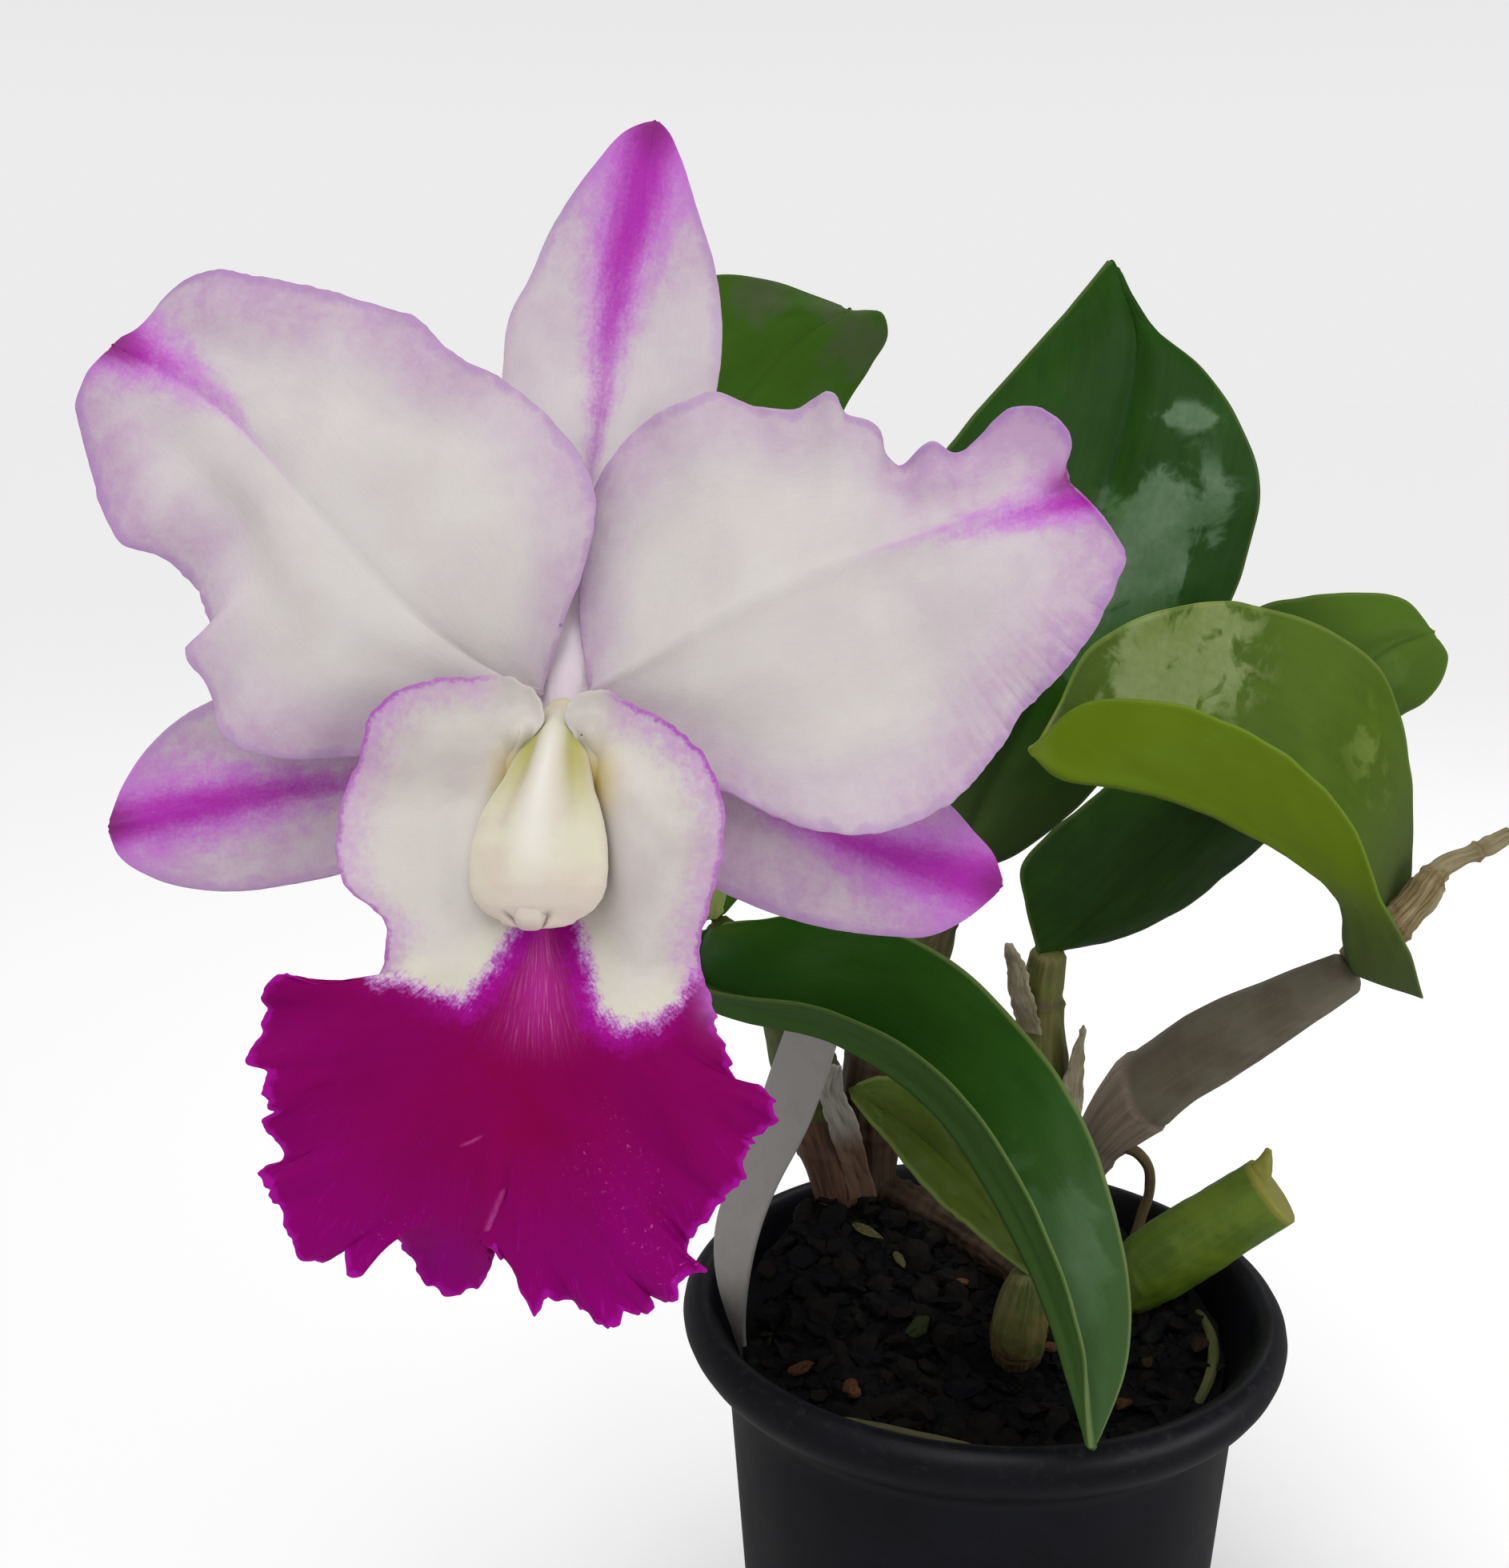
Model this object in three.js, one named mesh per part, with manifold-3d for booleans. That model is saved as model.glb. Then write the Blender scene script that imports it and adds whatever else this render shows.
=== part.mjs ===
// Potted cattleya orchid with one open bloom.
// Millimetres, +Z up, origin at the centre of the pot's underside; the bloom faces -Y.
import * as THREE from "three";
import { mergeVertices } from "three/addons/utils/BufferGeometryUtils.js";
import Module from "manifold-3d";

const wasm = await Module();
wasm.setup();

// ---------------------------------------------------------------- driving dimensions

const gap = 0.35; // air between neighbouring pieces

const pot = {
  height: 92,
  baseRadius: 36.8,
  neckRadius: 42.4, // outside of the wall where the rim starts
  neckHeight: 76,
  rimRadius: 50,
  rimDepth: 12,
  wall: 1.6,
  floor: 1.9,
  facets: 36,
  drainHoles: 6,
  drainRadius: 3.6,
  drainCircle: 23,
};

const soil = {
  frontHeight: 80.2,
  slope: 0.125, // rise for each millimetre towards the back
  moundAt: [-25, 23],
  moundHeight: 7,
  moundWidth: 11,
  chunks: 95, // bark pieces that show at the surface
  chunkRise: 2.3,
  chunkTilt: 0.22,
  rings: 11,
  spokes: 36,
  bottom: 2.4,
};

// The bloom's own frame: x to its right, y up its face, z straight out of its face.
const bloom = {
  centre: [-60.6, -69, 203.4],
  tilt: 77.3, // degrees that its face is turned up from lying flat
};

// ---------------------------------------------------------------- small maths

const vec = (p) => new THREE.Vector3(...p);
const mix = (a, b, t) => a + (b - a) * t;
const clamp01 = (t) => Math.min(1, Math.max(0, t));
const smooth = (t) => clamp01(t) ** 2 * (3 - 2 * clamp01(t));

// A seeded random number from 0 to 1.
function seeded(seed) {
  let state = seed;
  return () => {
    state = (state * 1664525 + 1013904223) % 4294967296;
    return state / 4294967296;
  };
}

// A smooth curve through points, read by its share of length from 0 to 1.
function curveThrough(points) {
  const knots = points.map(vec);
  const at = [0];
  for (let i = 1; i < knots.length; i++) {
    at.push(at[i - 1] + knots[i].distanceTo(knots[i - 1]));
  }
  const last = knots.length - 1;
  const slope = (i) =>
    knots[i + 1].clone().sub(knots[i]).divideScalar(at[i + 1] - at[i]);
  const tangents = knots.map((_, i) => {
    if (i === 0) return slope(0);
    if (i === last) return slope(last - 1);
    const before = at[i] - at[i - 1];
    const after = at[i + 1] - at[i];
    return slope(i - 1).multiplyScalar(after).addScaledVector(slope(i), before)
      .divideScalar(before + after);
  });
  return (share) => {
    const s = clamp01(share) * at[last];
    let i = 0;
    while (i < last - 1 && s > at[i + 1]) i++;
    const h = at[i + 1] - at[i];
    const t = (s - at[i]) / h;
    return knots[i].clone().multiplyScalar(2 * t ** 3 - 3 * t ** 2 + 1)
      .addScaledVector(tangents[i], (t ** 3 - 2 * t ** 2 + t) * h)
      .addScaledVector(knots[i + 1], -2 * t ** 3 + 3 * t ** 2)
      .addScaledVector(tangents[i + 1], (t ** 3 - t ** 2) * h);
  };
}

// A value along a list of evenly spaced values.
function along(values, share) {
  const s = clamp01(share) * (values.length - 1);
  const i = Math.min(values.length - 2, Math.floor(s));
  return mix(values[i], values[i + 1], s - i);
}

// ---------------------------------------------------------------- solids

function geometryOf(positions, triangles) {
  const geometry = new THREE.BufferGeometry();
  geometry.setAttribute("position", new THREE.Float32BufferAttribute(positions, 3));
  geometry.setIndex(triangles);
  return geometry;
}

function solidOf(geometry) {
  const bare = geometry.clone();
  bare.deleteAttribute("normal");
  bare.deleteAttribute("uv");
  const merged = mergeVertices(bare, 1e-4);
  return new wasm.Manifold(new wasm.Mesh({
    numProp: 3,
    vertProperties: new Float32Array(merged.attributes.position.array),
    triVerts: new Uint32Array(merged.index.array),
  }));
}

function geometryFrom(solid) {
  const mesh = solid.getMesh();
  return geometryOf(Array.from(mesh.vertProperties), Array.from(mesh.triVerts));
}

// Cuts the tools out of a piece and keeps the largest body that is left.
function cutClear(geometry, tools) {
  let solid = solidOf(geometry);
  for (const tool of tools) solid = solid.subtract(solidOf(tool));
  const bodies = solid.decompose().sort((a, b) => b.volume() - a.volume());
  return geometryFrom(bodies[0]);
}

function joined(geometries) {
  return geometryFrom(geometries.map(solidOf).reduce((a, b) => a.add(b)));
}

// A closed sheet between two faces that are grids of points alike.
function sheetGeometry(front, back) {
  const rows = front.length;
  const columns = front[0].length;
  const positions = [];
  for (const face of [front, back]) {
    for (const row of face) for (const p of row) positions.push(p.x, p.y, p.z);
  }
  const id = (face, i, j) => face * rows * columns + i * columns + j;
  const triangles = [];
  for (let i = 0; i < rows - 1; i++) {
    for (let j = 0; j < columns - 1; j++) {
      const corners = [[i, j], [i + 1, j], [i + 1, j + 1], [i, j + 1]];
      const [a, b, c, d] = corners.map(([r, k]) => id(0, r, k));
      const [e, f, g, h] = corners.map(([r, k]) => id(1, r, k));
      triangles.push(a, b, c, a, c, d, e, g, f, e, h, g);
    }
  }
  const rim = [];
  for (let j = 0; j < columns - 1; j++) rim.push([0, j]);
  for (let i = 0; i < rows - 1; i++) rim.push([i, columns - 1]);
  for (let j = columns - 1; j > 0; j--) rim.push([rows - 1, j]);
  for (let i = rows - 1; i > 0; i--) rim.push([i, 0]);
  rim.forEach(([i, j], k) => {
    const [m, n] = rim[(k + 1) % rim.length];
    const a = id(0, i, j);
    const b = id(0, m, n);
    const c = id(1, m, n);
    const d = id(1, i, j);
    triangles.push(a, b, c, a, c, d);
  });
  const geometry = geometryOf(positions, triangles);
  if (solidOf(geometry).volume() < 0) geometry.setIndex(triangles.reverse());
  return geometry;
}

// A leaf or petal between two margins and over a midrib, as a function of u along it and v across it.
// bulge arches each half, cup lifts both margins, and a ruffle waves them.
function bladeSurface(blade) {
  const mid = curveThrough(blade.mid);
  const sides = { left: curveThrough(blade.left), right: curveThrough(blade.right) };
  const { bulge = 0, ruffle = 0, waves = 0, phase = 0, detail = 1, wrap = 0 } = blade;
  const span = 0.05;
  const evened = (side, u) => {
    const room = Math.min(span, u, 1 - u);
    const sum = new THREE.Vector3();
    for (const k of [-1, -0.5, 0, 0.5, 1]) sum.add(sides[side](u + k * room));
    return sum.divideScalar(5);
  };
  return (u, v) => {
    const side = v < 0 ? "left" : "right";
    const a = Math.abs(v);
    const m = mid(u);
    const soft = evened(side, u);
    const rim = sides[side](u);
    const step = 0.01;
    const run = mid(Math.min(1, u + step)).sub(mid(Math.max(0, u - step)));
    const normal = run.cross(sides.right(u).sub(sides.left(u))).normalize();
    const p = m.clone().lerp(soft, a).addScaledVector(rim.sub(soft), detail * a ** 4);
    const wave = ruffle * a ** 3 * Math.sin(2 * Math.PI * waves * u + phase + (v < 0 ? 1.3 : 0));
    const arch = bulge * 4 * a * (1 - a);
    p.addScaledVector(normal, (wave + arch) * Math.sin(Math.PI * u) ** 0.5);
    p.x += Math.sign(v) * wrap * 4 * a * (1 - a) * Math.exp(-u / 0.12);
    return p;
  };
}

function bladeGeometry(blade, grow = 0) {
  const surface = bladeSurface(blade);
  const { rows, columns, thick, edge } = blade;
  const front = [];
  const back = [];
  for (let i = 0; i <= rows; i++) {
    const u = i / rows;
    front.push([]);
    back.push([]);
    for (let j = 0; j <= columns; j++) {
      const v = (2 * j) / columns - 1;
      const e = 0.02;
      const du = surface(Math.min(1, u + e), v).sub(surface(Math.max(0, u - e), v));
      const dv = surface(u, Math.min(1, v + e)).sub(surface(u, Math.max(-1, v - e)));
      const normal = du.cross(dv).normalize();
      const half = mix(thick, edge, Math.abs(v)) / 2 + grow;
      const p = surface(u, v);
      if (j === 0 || j === columns) p.addScaledVector(dv.normalize(), grow * v);
      if (i === 0 || i === rows) p.addScaledVector(du.normalize(), grow * (2 * u - 1));
      front[i].push(p.clone().addScaledVector(normal, half));
      back[i].push(p.clone().addScaledVector(normal, -half));
    }
  }
  return sheetGeometry(front, back);
}

// A stem of elliptical rings along a curve. widths and depths are half sizes at even steps.
function stemGeometry(stem, grow = 0) {
  const { path, widths, depths = widths, broad = [1, 0, 0], sides = 10, rings = 12 } = stem;
  const curve = curveThrough(path);
  const across = vec(broad);
  const positions = [];
  const triangles = [];
  for (let i = 0; i <= rings; i++) {
    const u = i / rings;
    const step = 0.01;
    const ahead = curve(Math.min(1, u + step)).sub(curve(Math.max(0, u - step))).normalize();
    across.addScaledVector(ahead, -across.dot(ahead)).normalize();
    const deep = ahead.clone().cross(across);
    const centre = curve(u);
    if (i === 0) centre.addScaledVector(ahead, -grow);
    if (i === rings) centre.addScaledVector(ahead, grow);
    for (let k = 0; k < sides; k++) {
      const angle = (2 * Math.PI * k) / sides;
      const p = centre.clone()
        .addScaledVector(across, (along(widths, u) + grow) * Math.cos(angle))
        .addScaledVector(deep, (along(depths, u) + grow) * Math.sin(angle));
      positions.push(p.x, p.y, p.z);
    }
  }
  for (let i = 0; i < rings; i++) {
    for (let k = 0; k < sides; k++) {
      const n = (k + 1) % sides;
      const a = i * sides + k;
      const b = i * sides + n;
      const c = (i + 1) * sides + n;
      const d = (i + 1) * sides + k;
      triangles.push(a, b, c, a, c, d);
    }
  }
  for (let k = 1; k < sides - 1; k++) {
    triangles.push(0, k + 1, k);
    const top = rings * sides;
    triangles.push(top, top + k, top + k + 1);
  }
  return geometryOf(positions, triangles);
}

// ---------------------------------------------------------------- pot and soil

const potWallAt = (z) => mix(pot.baseRadius, pot.neckRadius, z / pot.neckHeight);

function potGeometry() {
  const { height, rimRadius, rimDepth, neckHeight, wall, floor } = pot;
  const inside = (z) => potWallAt(z) - wall;
  const rimFoot = height - rimDepth;
  const lip = [
    [potWallAt(rimFoot) + 0.4, rimFoot],
    [rimRadius - 3.2, rimFoot + 3],
    [rimRadius - 0.7, rimFoot + 5.6],
    [rimRadius, rimFoot + 8],
    [rimRadius - 0.7, rimFoot + 10.6],
    [rimRadius - 2.4, height],
    [rimRadius - 4.3, height - 0.5],
    [rimRadius - 5.4, height - 2.4],
  ];
  const profile = [
    [0, 0],
    [pot.baseRadius - 0.8, 0],
    [pot.baseRadius, 0.8],
    [potWallAt(neckHeight / 2), neckHeight / 2],
    [pot.neckRadius, neckHeight],
    ...lip,
    [inside(height - 8), height - 8],
    [inside(neckHeight / 2), neckHeight / 2],
    [inside(floor), floor],
    [0, floor],
  ].map(([r, z]) => new THREE.Vector2(r, z));
  const shell = new THREE.LatheGeometry(profile, pot.facets).rotateX(Math.PI / 2);
  const drains = [];
  for (let i = 0; i < pot.drainHoles; i++) {
    const angle = (2 * Math.PI * i) / pot.drainHoles;
    const hole = new THREE.CylinderGeometry(pot.drainRadius, pot.drainRadius, 3 * floor, 8);
    hole.rotateX(Math.PI / 2);
    hole.translate(pot.drainCircle * Math.cos(angle), pot.drainCircle * Math.sin(angle), floor / 2);
    drains.push(hole);
  }
  return cutClear(shell, drains);
}

// Height of the bark at a place, with a tilted plate for each piece that shows.
const soilHeight = (() => {
  const random = seeded(7);
  const radius = pot.neckRadius;
  const chunks = [];
  for (let i = 0; i < soil.chunks; i++) {
    const angle = 2 * Math.PI * random();
    const r = radius * Math.sqrt(random());
    chunks.push({
      x: r * Math.cos(angle),
      y: r * Math.sin(angle),
      rise: soil.chunkRise * (random() - 0.5),
      tiltX: soil.chunkTilt * (2 * random() - 1),
      tiltY: soil.chunkTilt * (2 * random() - 1),
    });
  }
  return (x, y) => {
    const [mx, my] = soil.moundAt;
    const far = Math.hypot(x - mx, y - my) / soil.moundWidth;
    const inner = smooth((radius - Math.hypot(x, y)) / 7);
    const ground = soil.frontHeight + soil.slope * (y + radius)
      + soil.moundHeight * Math.exp(-far * far / 2) * mix(0.3, 1, inner);
    let near = chunks[0];
    for (const c of chunks) {
      if (Math.hypot(x - c.x, y - c.y) < Math.hypot(x - near.x, y - near.y)) near = c;
    }
    return ground + near.rise + near.tiltX * (x - near.x) + near.tiltY * (y - near.y);
  };
})();

function soilGeometry() {
  const { rings, spokes, bottom } = soil;
  const wallAt = (z) => potWallAt(z) - pot.wall - gap;
  const positions = [0, 0, soilHeight(0, 0)];
  const triangles = [];
  for (let i = 1; i <= rings; i++) {
    for (let k = 0; k < spokes; k++) {
      const angle = (2 * Math.PI * k) / spokes;
      const reach = wallAt(80) * Math.cos(Math.PI / pot.facets) * (i / rings) ** 0.85;
      const x = reach * Math.cos(angle);
      const y = reach * Math.sin(angle);
      positions.push(x, y, soilHeight(x, y));
    }
  }
  for (let k = 0; k < spokes; k++) {
    const angle = (2 * Math.PI * k) / spokes;
    const reach = wallAt(bottom) * Math.cos(Math.PI / pot.facets);
    positions.push(reach * Math.cos(angle), reach * Math.sin(angle), bottom);
  }
  positions.push(0, 0, bottom);
  const id = (i, k) => 1 + (i - 1) * spokes + (k % spokes);
  const last = positions.length / 3 - 1;
  for (let k = 0; k < spokes; k++) {
    triangles.push(0, id(1, k), id(1, k + 1));
    for (let i = 1; i <= rings; i++) {
      triangles.push(id(i, k), id(i + 1, k), id(i + 1, k + 1));
      triangles.push(id(i, k), id(i + 1, k + 1), id(i, k + 1));
    }
    triangles.push(last, id(rings + 1, k + 1), id(rings + 1, k));
  }
  return geometryOf(positions, triangles);
}

// ---------------------------------------------------------------- rhizome, stems and roots

const rhizomeStems = [
  {
    path: [[-24, 29, 94], [-15, 33, 93.5], [-7.5, 28.5, 92], [-0.8, 22, 90.5], [5.3, 13.4, 89.5],
      [10, 7, 88], [8.5, -2, 85.5], [5, -8.5, 82.5]],
    widths: [2.4, 3.1, 2.6, 3.2, 2.7, 3.3, 2.7, 3.1, 2.6, 2.8, 2.2],
    sides: 8,
    rings: 16,
  },
  {
    path: [[-0.8, 22, 90], [7, 24.5, 89.5], [14, 26, 89.5], [20.5, 31, 90.5]],
    widths: [2.4, 3, 2.5, 2.9, 2.3],
    sides: 8,
    rings: 7,
  },
  {
    path: [[9.5, 7.5, 87.5], [15, 6.5, 86], [21, 5, 84]],
    widths: [2.3, 2.9, 2.4, 2.8],
    sides: 8,
    rings: 6,
  },
];

const pseudobulbs = {
  pseudobulb_0: {
    path: [[-22.5, 28.5, 92], [-24, 26, 101], [-28.5, 22, 119], [-32, 15, 135], [-37.5, 6, 147],
      [-43.5, -1, 154.5]],
    widths: [3.4, 4.4, 5.6, 5.9, 5.4, 4.2, 3, 2.6],
    color: "#4d5330",
  },
  pseudobulb_1: {
    path: [[-15.5, 34.5, 92], [-15.8, 34, 100], [-16, 30, 115], [-13, 26.5, 130], [-7, 23, 144.5],
      [-4, 22, 157]],
    widths: [3.4, 4.4, 5.6, 6.1, 5.6, 4.4, 3.2, 2.8],
    color: "#5a5232",
  },
  pseudobulb_2: {
    path: [[14, 25.5, 89.5], [14.8, 23.5, 98], [14.5, 21.5, 108], [12.3, 20, 123], [11.5, 18, 134.5],
      [12, 15, 145]],
    widths: [3, 3.6, 4.6, 5.1, 5, 4.3, 3.6, 3],
    color: "#6b7038",
  },
  pseudobulb_3: {
    path: [[20.5, 31.5, 90.5], [22.3, 29, 99], [26, 27, 107.5], [33, 24, 117.5], [41, 21, 125.5],
      [52, 14, 136], [60.5, 8.5, 144]],
    widths: [2.8, 3, 3.6, 5.2, 6.7, 6.4, 6.6, 6.2, 5.4, 4.6, 3.6],
    color: "#8b8172",
  },
  pseudobulb_5: {
    path: [[5, -8.5, 82], [4.7, -12, 88], [4.6, -15.5, 95.5], [5.2, -17, 102.5]],
    widths: [2.4, 3.8, 4.5, 4.2, 3.2, 2.3],
    rings: 9,
    color: "#717a34",
  },
};

const cutStem = {
  path: [[21.5, 5, 84], [25, 5.5, 87.5], [32, 4.5, 94], [40, 3, 101], [48.5, 1, 108.5]],
  widths: [3.4, 5.2, 6.2, 6.4, 6.2, 6, 5.9],
  sides: 12,
  rings: 9,
  color: "#7c9c33",
};

// Thorn-like rest of a bract on the upper edge of the cut.
const cutPoint = {
  path: [[45.5, 1.4, 109.5], [46.8, 1.2, 112.8], [47.4, 1, 115.8]],
  widths: [2.6, 1.7, 0.5],
  sides: 6,
  rings: 3,
};

const oldSpike = {
  path: [[61.5, 8.6, 146], [66.5, 9.2, 150.5], [72, 10, 156.5], [76, 11, 161.5], [82, 12, 164],
    [88, 13, 167]],
  widths: [2.2, 2.7, 3, 2.4, 2.6, 1.6, 1.2, 1.5, 0.9],
  sides: 7,
  rings: 12,
  color: "#8f7f58",
};

const roots = {
  root_loop: {
    path: [[28, 24, 106], [30.5, 23.5, 105.2], [33, 23.5, 102.2], [33.6, 23.8, 98], [32.6, 24.2, 93],
      [30, 24, 83]],
    widths: [1.1, 0.9, 0.9, 0.9, 1],
    sides: 6,
    rings: 9,
    color: "#8d7b58",
  },
  root_front: {
    path: [[-30, -24, 78], [-28.5, -28, 83], [-25, -32.6, 86.6], [-18.5, -37, 88.2], [-11, -39.8, 88.2],
      [-4, -40.6, 86.4], [0, -39.4, 82.4], [1, -38, 78]],
    widths: [1, 1.1, 1.2, 1.1, 1, 0.9],
    sides: 6,
    rings: 9,
    color: "#b5a24f",
  },
  root_side: {
    path: [[31, -20, 79], [34.5, -17, 83.5], [37.3, -10, 84.6], [38.5, -2, 84.6], [38, 5, 83.6],
      [36, 10, 80]],
    widths: [0.9, 1.1, 1.2, 1.1, 1, 0.9],
    sides: 6,
    rings: 9,
    color: "#a9b04a",
  },
};

// ---------------------------------------------------------------- leaves

const leafCut = { rows: 14, columns: 6, thick: 1.9, edge: 0.8, bulge: 1.1 };

const leaves = {
  leaf_a: {
    mid: [[-44.5, 2.5, 156], [-45, 4, 161.5], [-46, 9, 173.5], [-47.5, 14, 192.5],
      [-47.5, 18, 214.5], [-43.5, 20, 232.5], [-37.5, 20, 240], [-30, 18, 247.5], [-23.5, 17, 251]],
    left: [[-46, 1.5, 156], [-50, 3, 163], [-56.5, 7, 174], [-61, 12, 193], [-63.5, 16, 212],
      [-62.5, 19, 230], [-57.5, 20, 245], [-50, 20, 254], [-44, 19, 256.5], [-37, 18, 256],
      [-29.5, 18, 253.7], [-24.3, 17, 251.9]],
    right: [[-43, 3.5, 156], [-38.5, 6, 161], [-32.5, 10, 172], [-28.5, 15, 188.5],
      [-27.5, 19, 206.5], [-26.5, 21, 222], [-24, 22, 235], [-19.5, 20, 243], [-17, 18, 248],
      [-18, 17, 250.8], [-22.5, 17, 251]],
    color: "#3f6b22",
  },
  leaf_b: {
    mid: [[-3.6, 22, 157.8], [1.5, 25, 170], [10, 29, 186], [17, 33, 205], [22, 36, 221.5],
      [25.5, 38, 235], [27, 39, 248], [22.5, 38.5, 259.5]],
    left: [[-5.6, 20.6, 158], [-14, 19, 177], [-18.5, 19, 196], [-16, 21, 213], [-6, 25, 229.5],
      [7, 31, 244], [15.5, 35, 253], [21.6, 38, 260]],
    right: [[-1.6, 23.4, 157.8], [5, 26, 158.8], [16.5, 31, 165.5], [30, 37, 179], [40, 40, 191.5],
      [46.5, 42, 202.5], [49.5, 43, 212.5], [50.5, 43, 223.5], [47, 43, 232], [39, 42, 242.5],
      [29, 40, 250], [23.6, 38.5, 259]],
    color: "#2f6122",
  },
  leaf_c: {
    mid: [[12, 15, 146], [23.5, 13, 157.5], [35, 14, 169.5], [46.5, 16, 181.5], [60, 18, 192],
      [69, 19, 198], [74.2, 20, 199.6]],
    left: [[10, 13.6, 146.4], [7.5, 12, 155], [6.5, 11, 162], [10.5, 11, 167], [19.5, 12, 174.5],
      [29, 14, 186], [38, 17, 199], [46, 19, 204], [54, 20, 205.5], [63, 21, 206],
      [70.5, 21, 204.4], [74, 20.2, 200.6]],
    right: [[13.8, 16.4, 145.6], [18, 18, 145.6], [32, 21, 149.5], [42, 23, 156], [51, 24, 163.5],
      [63.5, 25, 175.5], [72, 24, 185], [75, 23, 187.5], [77.5, 22, 191.5], [77.8, 21, 195.5],
      [75.2, 20, 199]],
    color: "#274d1c",
  },
  leaf_d: {
    mid: [[61.5, 8, 145], [57, 1, 159], [49, -5, 166.5], [40.5, -10, 172.5], [30.5, -15, 178],
      [23, -19, 181.5], [14, -24, 184.5], [5, -28, 187], [1, -31, 190]],
    left: [[69, -3, 144], [63.5, -9, 154.5], [56.5, -15, 164], [48.5, -24, 177], [37, -33, 188.5],
      [30, -37, 193], [21, -40, 197], [13, -41, 198.5], [6.5, -39, 198], [0.3, -32, 190.6]],
    right: [[67.5, 12, 151], [72, 14, 158], [72.5, 15, 163.5], [69, 14, 184], [64, 11, 193.5],
      [52, 5, 202], [41, -1, 206], [34, -5, 207.5], [24, -12, 207.5], [16, -18, 206],
      [9, -23, 202.5], [5, -27, 196], [1.6, -30.6, 191]],
    color: "#7f9a2c",
    rows: 16,
  },
  leaf_f: {
    mid: [[-45, -4, 154.8], [-47.5, -14, 153], [-46, -24, 152], [-42.5, -29, 151.6],
      [-26, -36, 149.4], [-12.5, -42, 141.5], [-4.5, -47, 131], [3, -52, 116.5], [8.5, -54, 97]],
    left: [[-46.4, -4.4, 155.4], [-49.5, -18, 155.5], [-48, -31, 156], [-43, -38, 157],
      [-26.5, -48, 157.5], [-18, -53, 154.5], [-7.5, -59, 145.5], [-0.5, -62, 133.5],
      [4.5, -61, 119], [8, -55, 97.4]],
    right: [[-43.6, -3.4, 155.4], [-42.5, -8, 157.5], [-38.5, -14, 160], [-31.5, -22, 163.5],
      [-20, -30, 164], [-9, -35, 159.5], [-0.5, -39, 151.5], [7.5, -42, 140], [11.5, -45, 129],
      [14, -48, 116], [13, -51, 105.5], [9.2, -54, 97.4]],
    color: "#2f5a1f",
    rows: 18,
  },
  leaf_g: {
    mid: [[6, -17.2, 103.6], [1.5, -15, 109], [-5.5, -12, 117], [-14.5, -11, 125.5],
      [-22.5, -12, 131.5]],
    left: [[4.8, -18.2, 103.6], [-4.5, -18, 111.5], [-11.5, -16, 117.5], [-17, -14, 124],
      [-21.5, -13, 129.6], [-22.8, -12.2, 131.2]],
    right: [[7, -16.2, 103.4], [2.5, -12, 113], [-3.5, -10, 122], [-9, -9, 128.5],
      [-15.5, -10, 132.5], [-22, -11.8, 132]],
    thick: 1.5,
    rows: 12,
    columns: 6,
    bulge: 0.6,
    color: "#6f8f35",
  },
};

const bracts = {
  sheath_left: {
    mid: [[9.5, 14.5, 130], [7, 13, 138], [6, 11.5, 144], [4.4, 10, 148.4]],
    left: [[8, 16, 130], [5.4, 15, 138], [5, 12.8, 144], [4, 10.4, 148.2]],
    right: [[13, 13, 130], [10.5, 11.6, 138], [8.4, 10.6, 144], [4.8, 9.8, 148.6]],
    thick: 0.8,
    edge: 0.7,
    rows: 6,
    columns: 4,
    color: "#a9a184",
  },
  sheath_right: {
    mid: [[17.5, 17.5, 106], [18.6, 17, 115], [18.2, 15, 124], [17.9, 12.4, 132.4]],
    left: [[14.5, 15.4, 106], [15, 13.6, 115], [15.4, 12.6, 124], [17.5, 12, 132.2]],
    right: [[19, 20.5, 106], [19.6, 20.5, 115], [19, 17.6, 124], [18.3, 12.8, 132.6]],
    thick: 0.8,
    edge: 0.7,
    rows: 6,
    columns: 4,
    color: "#a79a6c",
  },
  sheath_foot: {
    mid: [[-18.6, 25, 96], [-20.5, 22, 104], [-22.5, 16.5, 113.5], [-25, 13, 122], [-24, 11, 126.5]],
    left: [[-20.6, 23.6, 96], [-22.4, 20.8, 104], [-24.8, 15.8, 113.5], [-26.4, 12.6, 122],
      [-24.6, 11, 126.5]],
    right: [[-16, 25, 96], [-18.2, 22.4, 104], [-20.2, 17, 113.5], [-23.2, 13.4, 122],
      [-23.4, 11.2, 126.5]],
    thick: 0.8,
    edge: 0.7,
    rows: 8,
    columns: 4,
    color: "#bdb5a4",
  },
};

const label = {
  mid: [[-28.5, -13.5, 144], [-31.3, -11.5, 134], [-34.8, -9.5, 122.3], [-39, -8, 110.8],
    [-41, -6.6, 101], [-41, -5.6, 92], [-39.2, -5, 83], [-38.2, -5, 78]],
  left: [[-32, -10, 143.5], [-35.5, -8, 132.5], [-39, -6, 120], [-44, -4, 105.5],
    [-44.4, -3, 98], [-42.6, -3.4, 90.4], [-40, -4.2, 83], [-38.5, -4.8, 78]],
  right: [[-25, -17, 144.5], [-27, -15, 135.5], [-30.5, -13, 124.5], [-34.5, -12, 116],
    [-38, -10, 104.5], [-38.9, -8, 94.6], [-38.3, -6, 84], [-37.9, -5.3, 78]],
  thick: 0.8,
  edge: 0.8,
  rows: 10,
  columns: 2,
  detail: 0,
  color: "#b9b6b3",
};

// ---------------------------------------------------------------- bloom, in its own frame

const petalCut = { rows: 20, columns: 8, thick: 0.95, edge: 0.65 };

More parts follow.
